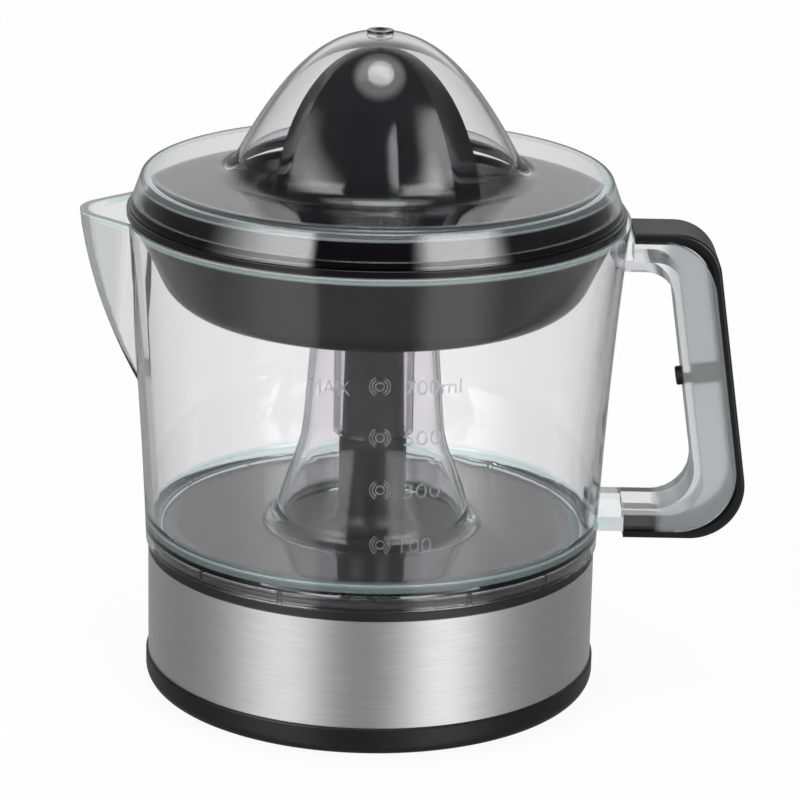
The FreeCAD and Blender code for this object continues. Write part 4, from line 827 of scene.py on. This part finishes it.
class SkyTree(Shader):
    """Node tree of the world: patches of light by direction."""

    def __init__(self, tree: bpy.types.NodeTree) -> None:
        """Start the tree with the direction split into azimuth and elevation.

        Args:
            tree: The world's node tree.
        """
        self.tree = tree
        tree.nodes.clear()
        parts = self.add("ShaderNodeSeparateXYZ")
        self.feed(parts.inputs["Vector"], self.add("ShaderNodeTexCoord").outputs["Generated"])
        toward = self.combined("MULTIPLY", parts.outputs["Y"], -1.0)
        turn = self.combined("ARCTAN2", parts.outputs["X"], toward)
        rise = self.combined("ARCSINE", parts.outputs["Z"], 0.0)
        self.azimuth = self.combined("DEGREES", turn, 0.0)
        self.elevation = self.combined("DEGREES", rise, 0.0)

    def step(self, value: bpy.types.NodeSocket, start: float, end: float) -> bpy.types.NodeSocket:
        """Smooth rise from 0 to 1.

        Args:
            value: Angle.
            start: Angle where the rise starts.
            end: Angle where it ends.

        Returns:
            The share.
        """
        node = self.add("ShaderNodeMapRange", interpolation_type="SMOOTHSTEP")
        self.feed(node.inputs["Value"], value)
        node.inputs["From Min"].default_value = start
        node.inputs["From Max"].default_value = end
        return node.outputs["Result"]

    def span(self, value: bpy.types.NodeSocket, edges: Span) -> bpy.types.NodeSocket:
        """Share that rises, stays full and falls again.

        Args:
            value: Angle.
            edges: Angles of the start, the full stretch and the end.

        Returns:
            The share.
        """
        rise = self.step(value, edges[0], edges[1])
        fall = self.step(value, edges[2], edges[3])
        return self.combined("MULTIPLY", rise, self.combined("SUBTRACT", 1.0, fall))

    def patch(self, box: Softbox) -> bpy.types.NodeSocket:
        """Brightness of one softbox.

        Args:
            box: The softbox.

        Returns:
            Its brightness by direction.
        """
        turn = self.combined("ABSOLUTE", self.azimuth, 0.0) if box.both_sides else self.azimuth
        wide = self.span(turn, box.azimuth)
        tall = self.span(self.elevation, box.elevation)
        shape = self.combined("MULTIPLY", wide, tall)
        return self.combined("MULTIPLY", shape, box.level)

    def room(self, above: float, below: float, horizon: tuple[float, float]) -> bpy.types.NodeSocket:
        """Brightness of the studio without its softboxes.

        Args:
            above: Level above the table.
            below: Level of the table's side.
            horizon: Elevations between which one goes over into the other.

        Returns:
            The brightness by direction.
        """
        return self.between(self.step(self.elevation, *horizon), above, below)

    def level(self, room: bpy.types.NodeSocket, boxes: list[Softbox], gap: Softbox) -> bpy.types.NodeSocket:
        """Brightness of the whole studio.

        Args:
            room: Brightness without softboxes.
            boxes: Softboxes to add.
            gap: Dark stretch round the camera, with the share that it takes away.

        Returns:
            The brightness by direction.
        """
        kept = self.combined("SUBTRACT", 1.0, self.patch(gap))
        total = self.combined("MULTIPLY", room, kept)
        for box in boxes:
            total = self.combined("ADD", total, self.patch(box))
        return total

    def finish(self, level: bpy.types.NodeSocket) -> None:
        """Show the studio to every ray but the camera's own, which see white.

        Args:
            level: Brightness by direction.
        """
        studio = self.add("ShaderNodeBackground")
        self.feed(studio.inputs["Strength"], level)
        studio.inputs["Color"].default_value = WHITE
        white = self.add("ShaderNodeBackground")
        white.inputs["Color"].default_value = WHITE
        pick = self.add("ShaderNodeMixShader")
        self.feed(pick.inputs["Fac"], self.add("ShaderNodeLightPath").outputs["Is Camera Ray"])
        self.feed(pick.inputs[1], studio.outputs["Background"])
        self.feed(pick.inputs[2], white.outputs["Background"])
        output = self.add("ShaderNodeOutputWorld")
        self.feed(output.inputs["Surface"], pick.outputs["Shader"])


@dataclass
class BaseUnit(SubAssembly):
    """Base: pan, feet, steel band and deck."""

    def finishes(self) -> dict[str, Finish]:
        """Finish of each solid, by its node's name."""
        return {
            "base_pan": BLACK, "rubber_feet": RUBBER, "housing_screws": ZINC, "cord_gland": RUBBER,
            "steel_band": BAND_STEEL, "top_deck": DECK}


@dataclass
class Drive(SubAssembly):
    """Motor, gears, spindle and switch inside the base, with a return spring."""

    coil_radius: float = 6.0 * MM
    wire_radius: float = 0.5 * MM
    turns: int = 4
    travel: float = 2.5 * MM
    steps: int = 128
    sides: int = 12

    def finishes(self) -> dict[str, Finish]:
        """Finish of each solid, by its node's name."""
        return {
            "gear_plate": ZINC, "plate_screws": ZINC, "stator_core": CORE, "coil_bobbin": NATURAL,
            "coil_winding": COPPER, "bearing_bridge": ZINC, "core_screws": ZINC, "core_spacers": ZINC,
            "rotor_bushes": BRONZE, "rotor_magnet": FERRITE, "rotor_shaft": TURNED_STEEL,
            "motor_pinion": NYLON, "idler_gear": NYLON, "idler_axle": TURNED_STEEL, "output_gear": NYLON,
            "drive_spindle": TURNED_STEEL, "spindle_clip": TURNED_STEEL, "spindle_bush_upper": BRONZE,
            "spindle_bush_lower": BRONZE, "thrust_cap": SWITCH_BLACK,
            "switch_body": SWITCH_BLACK, "switch_button": BUTTON_RED, "switch_lever": TURNED_STEEL}

    def build(self) -> None:
        """Wind the return spring."""
        low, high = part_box("return_spring")
        foot = low[2]
        head = high[2]
        piece = piece_of("spring_coil", self.spring(foot, head), TURNED_STEEL, Body.CARRIAGE)
        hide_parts("return_spring")
        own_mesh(piece)

    def spring(self, foot: float, head: float) -> bpy.types.Mesh:
        """Coil of round wire.

        Args:
            foot: Height of its lower end.
            head: Height of its upper end.

        Returns:
            The mesh.
        """
        build = bmesh.new()
        rings = []
        for i in range(self.steps + 1):
            share = i / self.steps
            turn = Matrix.Rotation(math.tau * self.turns * share, 3, "Z")
            level = foot + self.wire_radius + (head - foot - 2 * self.wire_radius) * share
            ring = []
            for j in range(self.sides):
                angle = math.tau * j / self.sides
                reach = self.coil_radius + self.wire_radius * math.cos(angle)
                spot = turn @ Vector((reach, 0, self.wire_radius * math.sin(angle)))
                ring.append(build.verts.new(spot + Vector((0, 0, level))))
            rings.append(ring)
        for first, second in zip(rings, rings[1:]):
            for j in range(self.sides):
                after = (j + 1) % self.sides
                build.faces.new((first[j], first[after], second[after], second[j]))
        build.faces.new(rings[0])
        build.faces.new(rings[-1])
        return mesh_from(build, "spring_coil", SMOOTH_ANGLE)


@dataclass
class Jug(SubAssembly):
    """Clear jug with its raised volume marks, black grip and grip screw."""

    seat: float = 47.2 * MM
    height: float = 100.9 * MM
    foot_radius: float = 68.7 * MM
    rim_radius: float = 75.5 * MM
    bow: float = 0.9 * MM
    letter_height: float = 4.3 * MM
    proud: float = 0.2 * MM
    sunk: float = 0.06 * MM
    stroke: float = 0.3 * MM
    thinning: float = 0.012
    ring: float = 1.25 * MM
    arcs: tuple[float, float] = (2.15 * MM, 2.95 * MM)
    arc_half: float = 62.0
    ring_steps: int = 40
    least_steps: int = 6
    words: dict[str, tuple[float, float, float]] = field(default_factory=lambda: {
        "MAX": (-14.65, -5.34, 115.6 * MM), "700ml": (7.13, 19.86, 115.9 * MM),
        "500": (6.89, 15.61, 100.6 * MM), "300": (7.19, 15.96, 84.5 * MM),
        "100": (7.08, 14.3, 67.9 * MM)})
    rings: dict[str, tuple[float, float]] = field(default_factory=lambda: {
        "700": (1.35, 116.3 * MM), "500": (1.6, 100.9 * MM), "300": (1.85, 85.0 * MM),
        "100": (2.13, 68.2 * MM)})

    def finishes(self) -> dict[str, Finish]:
        """Finish of each solid, by its node's name."""
        return {"jug_body": JUG_CLEAR, "handle_grip": BLACK, "grip_screw": BLACKED}

    def radius(self, z: float) -> float:
        """Outer radius of the wall at a height.

        Args:
            z: Height.

        Returns:
            The radius.
        """
        share = (z - self.seat) / self.height
        straight = self.foot_radius + (self.rim_radius - self.foot_radius) * share
        return straight - 4 * self.bow * share * (1 - share)

    def on_wall(self, azimuth: float, z: float, out: float) -> Vector:
        """Point on the front wall.

        Args:
            azimuth: Angle from the front towards the handle, in radians.
            z: Height.
            out: Distance outside the wall.

        Returns:
            The point.
        """
        reach = self.radius(z) + out
        return Vector((reach * math.sin(azimuth), -reach * math.cos(azimuth), z))

    def build(self) -> None:
        """Make the volume marks."""
        for words, (start, end, z) in self.words.items():
            mesh = self.lettering(words, math.radians(start), math.radians(end), z)
            piece_of(f"volume_mark_{words.lower()}", mesh, LETTERING, Body.JUG)
        for name, (azimuth, z) in self.rings.items():
            mesh = self.ring_mark(math.radians(azimuth), z)
            piece_of(f"volume_ring_{name}", mesh, LETTERING, Body.JUG)

    def lettering(self, words: str, start: float, end: float, z: float) -> bpy.types.Mesh:
        """Raised lettering bent round the wall.

        Args:
            words: Text.
            start: Angle of its left end, in radians.
            end: Angle of its right end.
            z: Height of its middle.

        Returns:
            The mesh.
        """
        curve = bpy.data.curves.new("lettering", "FONT")
        curve.body = words
        curve.extrude = 0.5
        curve.offset = -self.thinning
        holder = bpy.data.objects.new("lettering", curve)
        bpy.context.scene.collection.objects.link(holder)
        mesh = bpy.data.meshes.new_from_object(holder.evaluated_get(bpy.context.evaluated_depsgraph_get()))
        bpy.data.objects.remove(holder)
        build = bmesh.new()
        build.from_mesh(mesh)
        low = Vector([min(v.co[i] for v in build.verts) for i in range(3)])
        high = Vector([max(v.co[i] for v in build.verts) for i in range(3)])
        for v in build.verts:
            share = [(v.co[i] - low[i]) / (high[i] - low[i]) for i in range(3)]
            out = -self.sunk + (self.proud + self.sunk) * share[2]
            level = z + self.letter_height * (share[1] - 0.5)
            v.co = self.on_wall(start + (end - start) * share[0], level, out)
        return mesh_from(build, words)

    def ring_mark(self, azimuth: float, z: float) -> bpy.types.Mesh:
        """Round mark: a ring inside two pairs of arcs that are open at the top and the foot.

        Args:
            azimuth: Angle of its middle, in radians.
            z: Height of its middle.

        Returns:
            The mesh.
        """
        build = bmesh.new()
        self.arc(build, azimuth, z, self.ring, 0.0, 360.0)
        for radius in self.arcs:
            for middle in (0.0, 180.0):
                self.arc(build, azimuth, z, radius, middle - self.arc_half, middle + self.arc_half)
        return mesh_from(build, "ring_mark")

    def arc(self, build: bmesh.types.BMesh, azimuth: float, z: float, radius: float, start: float,
            end: float) -> None:
        """Add one raised arc to a mesh.

        Args:
            build: Mesh to add to.
            azimuth: Angle of the mark's middle, in radians.
            z: Height of the mark's middle.
            radius: Radius of the arc's middle line.
            start: Angle where the arc starts, in degrees.
            end: Angle where it ends.
        """
        closed = end - start >= 360.0
        steps = max(self.least_steps, round(self.ring_steps * (end - start) / 360.0))
        rows = []
        for i in range(steps if closed else steps + 1):
            angle = math.radians(start + (end - start) * i / steps)
            row = []
            for side, out in ((-0.5, -self.sunk), (-0.5, self.proud), (0.5, self.proud), (0.5, -self.sunk)):
                reach = radius + side * self.stroke
                level = z + reach * math.sin(angle)
                turn = azimuth + reach * math.cos(angle) / self.radius(level)
                row.append(build.verts.new(self.on_wall(turn, level, out)))
            rows.append(row)
        pairs = list(zip(rows, rows[1:])) + ([(rows[-1], rows[0])] if closed else [])
        for near, far in pairs:
            for i in range(4):
                build.faces.new((near[i], near[(i + 1) % 4], far[(i + 1) % 4], far[i]))
        if not closed:
            build.faces.new(rows[0])
            build.faces.new(rows[-1])


@dataclass
class Press(SubAssembly):
    """Strainer, its bush and the reamer."""

    def finishes(self) -> dict[str, Finish]:
        """Finish of each solid, by its node's name."""
        return {"strainer_bowl": STRAINER, "stem_bush": CHARCOAL, "reamer_cone": CHARCOAL}


@dataclass
class Cover(SubAssembly):
    """Clear dust cover, turned more finely than its solid so that light bends through it without facets."""

    wall: float = 2.0 * MM
    flare: float = 4.0 * MM
    skirt_height: float = 10.9 * MM
    corner_round: float = 3.0 * MM
    dome_radius: float = 44.5 * MM
    dome_fillet: float = 4.0 * MM
    dome_lean: float = 0.55
    dome_height: float = 52.7 * MM
    crown: float = 17.5 * MM
    shoulder: float = 24.0 * MM
    nub: float = 4.0 * MM
    nub_rise: float = 0.5 * MM
    nub_round: float = 0.3 * MM
    dimple: float = 2.2 * MM
    around: int = 192
    dome_steps: int = 48
    bend_steps: int = 12
    dimple_steps: int = 8
    nub_steps: int = 6

    def finishes(self) -> dict[str, Finish]:
        """Nothing to finish: the turned piece takes the solid's place."""
        return {}

    def build(self) -> None:
        """Turn the cover."""
        mesh = turned(self.profile(), self.around, "cover_shell")
        piece = piece_of("cover_shell", mesh, COVER_CLEAR, Body.COVER)
        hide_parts("dust_cover")
        let_light_through(piece)

    def profile(self) -> list[tuple[float, float]]:
        """Outline of the cover, from the nub down the outside and up the inside."""
        low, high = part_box("dust_cover")
        foot = low[2]
        reach = high[0]
        brim = foot + self.skirt_height
        top = foot + self.dome_height
        outside = self.skin(0.0, reach, brim, top)
        inside = self.skin(self.wall, reach, brim, top)
        side = self.wall * math.hypot(1, self.flare / self.skirt_height)
        rise = top + self.nub_rise
        dimple = [(0, top), (self.dimple / 2, top), (self.dimple, rise)]
        edge = [(self.nub - self.nub_round, rise), (self.nub, rise), (self.nub, rise - self.nub_round)]
        nub = bend(dimple, self.dimple_steps) + bend(edge, self.nub_steps)
        dome = [point for point in outside if point[0] > self.nub]
        nub.append((self.nub, dome[0][1]))
        return nub + dome + [(reach, foot), (reach - side, foot)] + inside[::-1]

    def skin(self, depth: float, reach: float, brim: float, top: float) -> list[tuple[float, float]]:
        """Outline of one side of the cover, from the dome's top to the skirt's corner.

        Args:
            depth: Distance inside the outer side.
            reach: Radius of the skirt's foot.
            brim: Height of the brim.
            top: Height of the dome.

        Returns:
            The points, as (r, z).
        """
        lean = self.flare / self.skirt_height
        corner = reach - self.flare + depth * (lean - math.hypot(1, lean))
        level = brim - depth
        spring = brim + self.dome_fillet
        start = self.dome_radius - self.dome_lean * self.dome_fillet - depth
        dome = [(0, top - depth), (self.crown - depth / 2, top - depth),
                (start - self.dome_lean * self.shoulder, spring + self.shoulder), (start, spring)]
        flat = self.dome_radius + self.dome_fillet
        fillet = [(start, spring), (self.dome_radius - depth, level), (flat, level)]
        cut = (self.corner_round - depth) * math.tan(math.atan2(1, lean) / 2)
        fall = cut / math.hypot(1, lean)
        bow = [(corner - cut, level), (corner, level), (corner + fall * lean, level - fall)]
        return bend(dome, self.dome_steps) + bend(fillet, self.bend_steps)[1:] + bend(bow, self.bend_steps)


def main() -> None:
    """Build the studio and dress the press, piece by piece."""
    logging.basicConfig(level=logging.INFO, format="%(message)s")
    bpy.context.scene.cycles.max_bounces = LIGHT_BOUNCES
    bpy.context.scene.cycles.transmission_bounces = LIGHT_BOUNCES
    Studio().build()
    for group in (BaseUnit(), Drive(), Jug(), Press(), Cover()):
        group.build()
        group.dress()


if __name__ == "__main__":
    main()
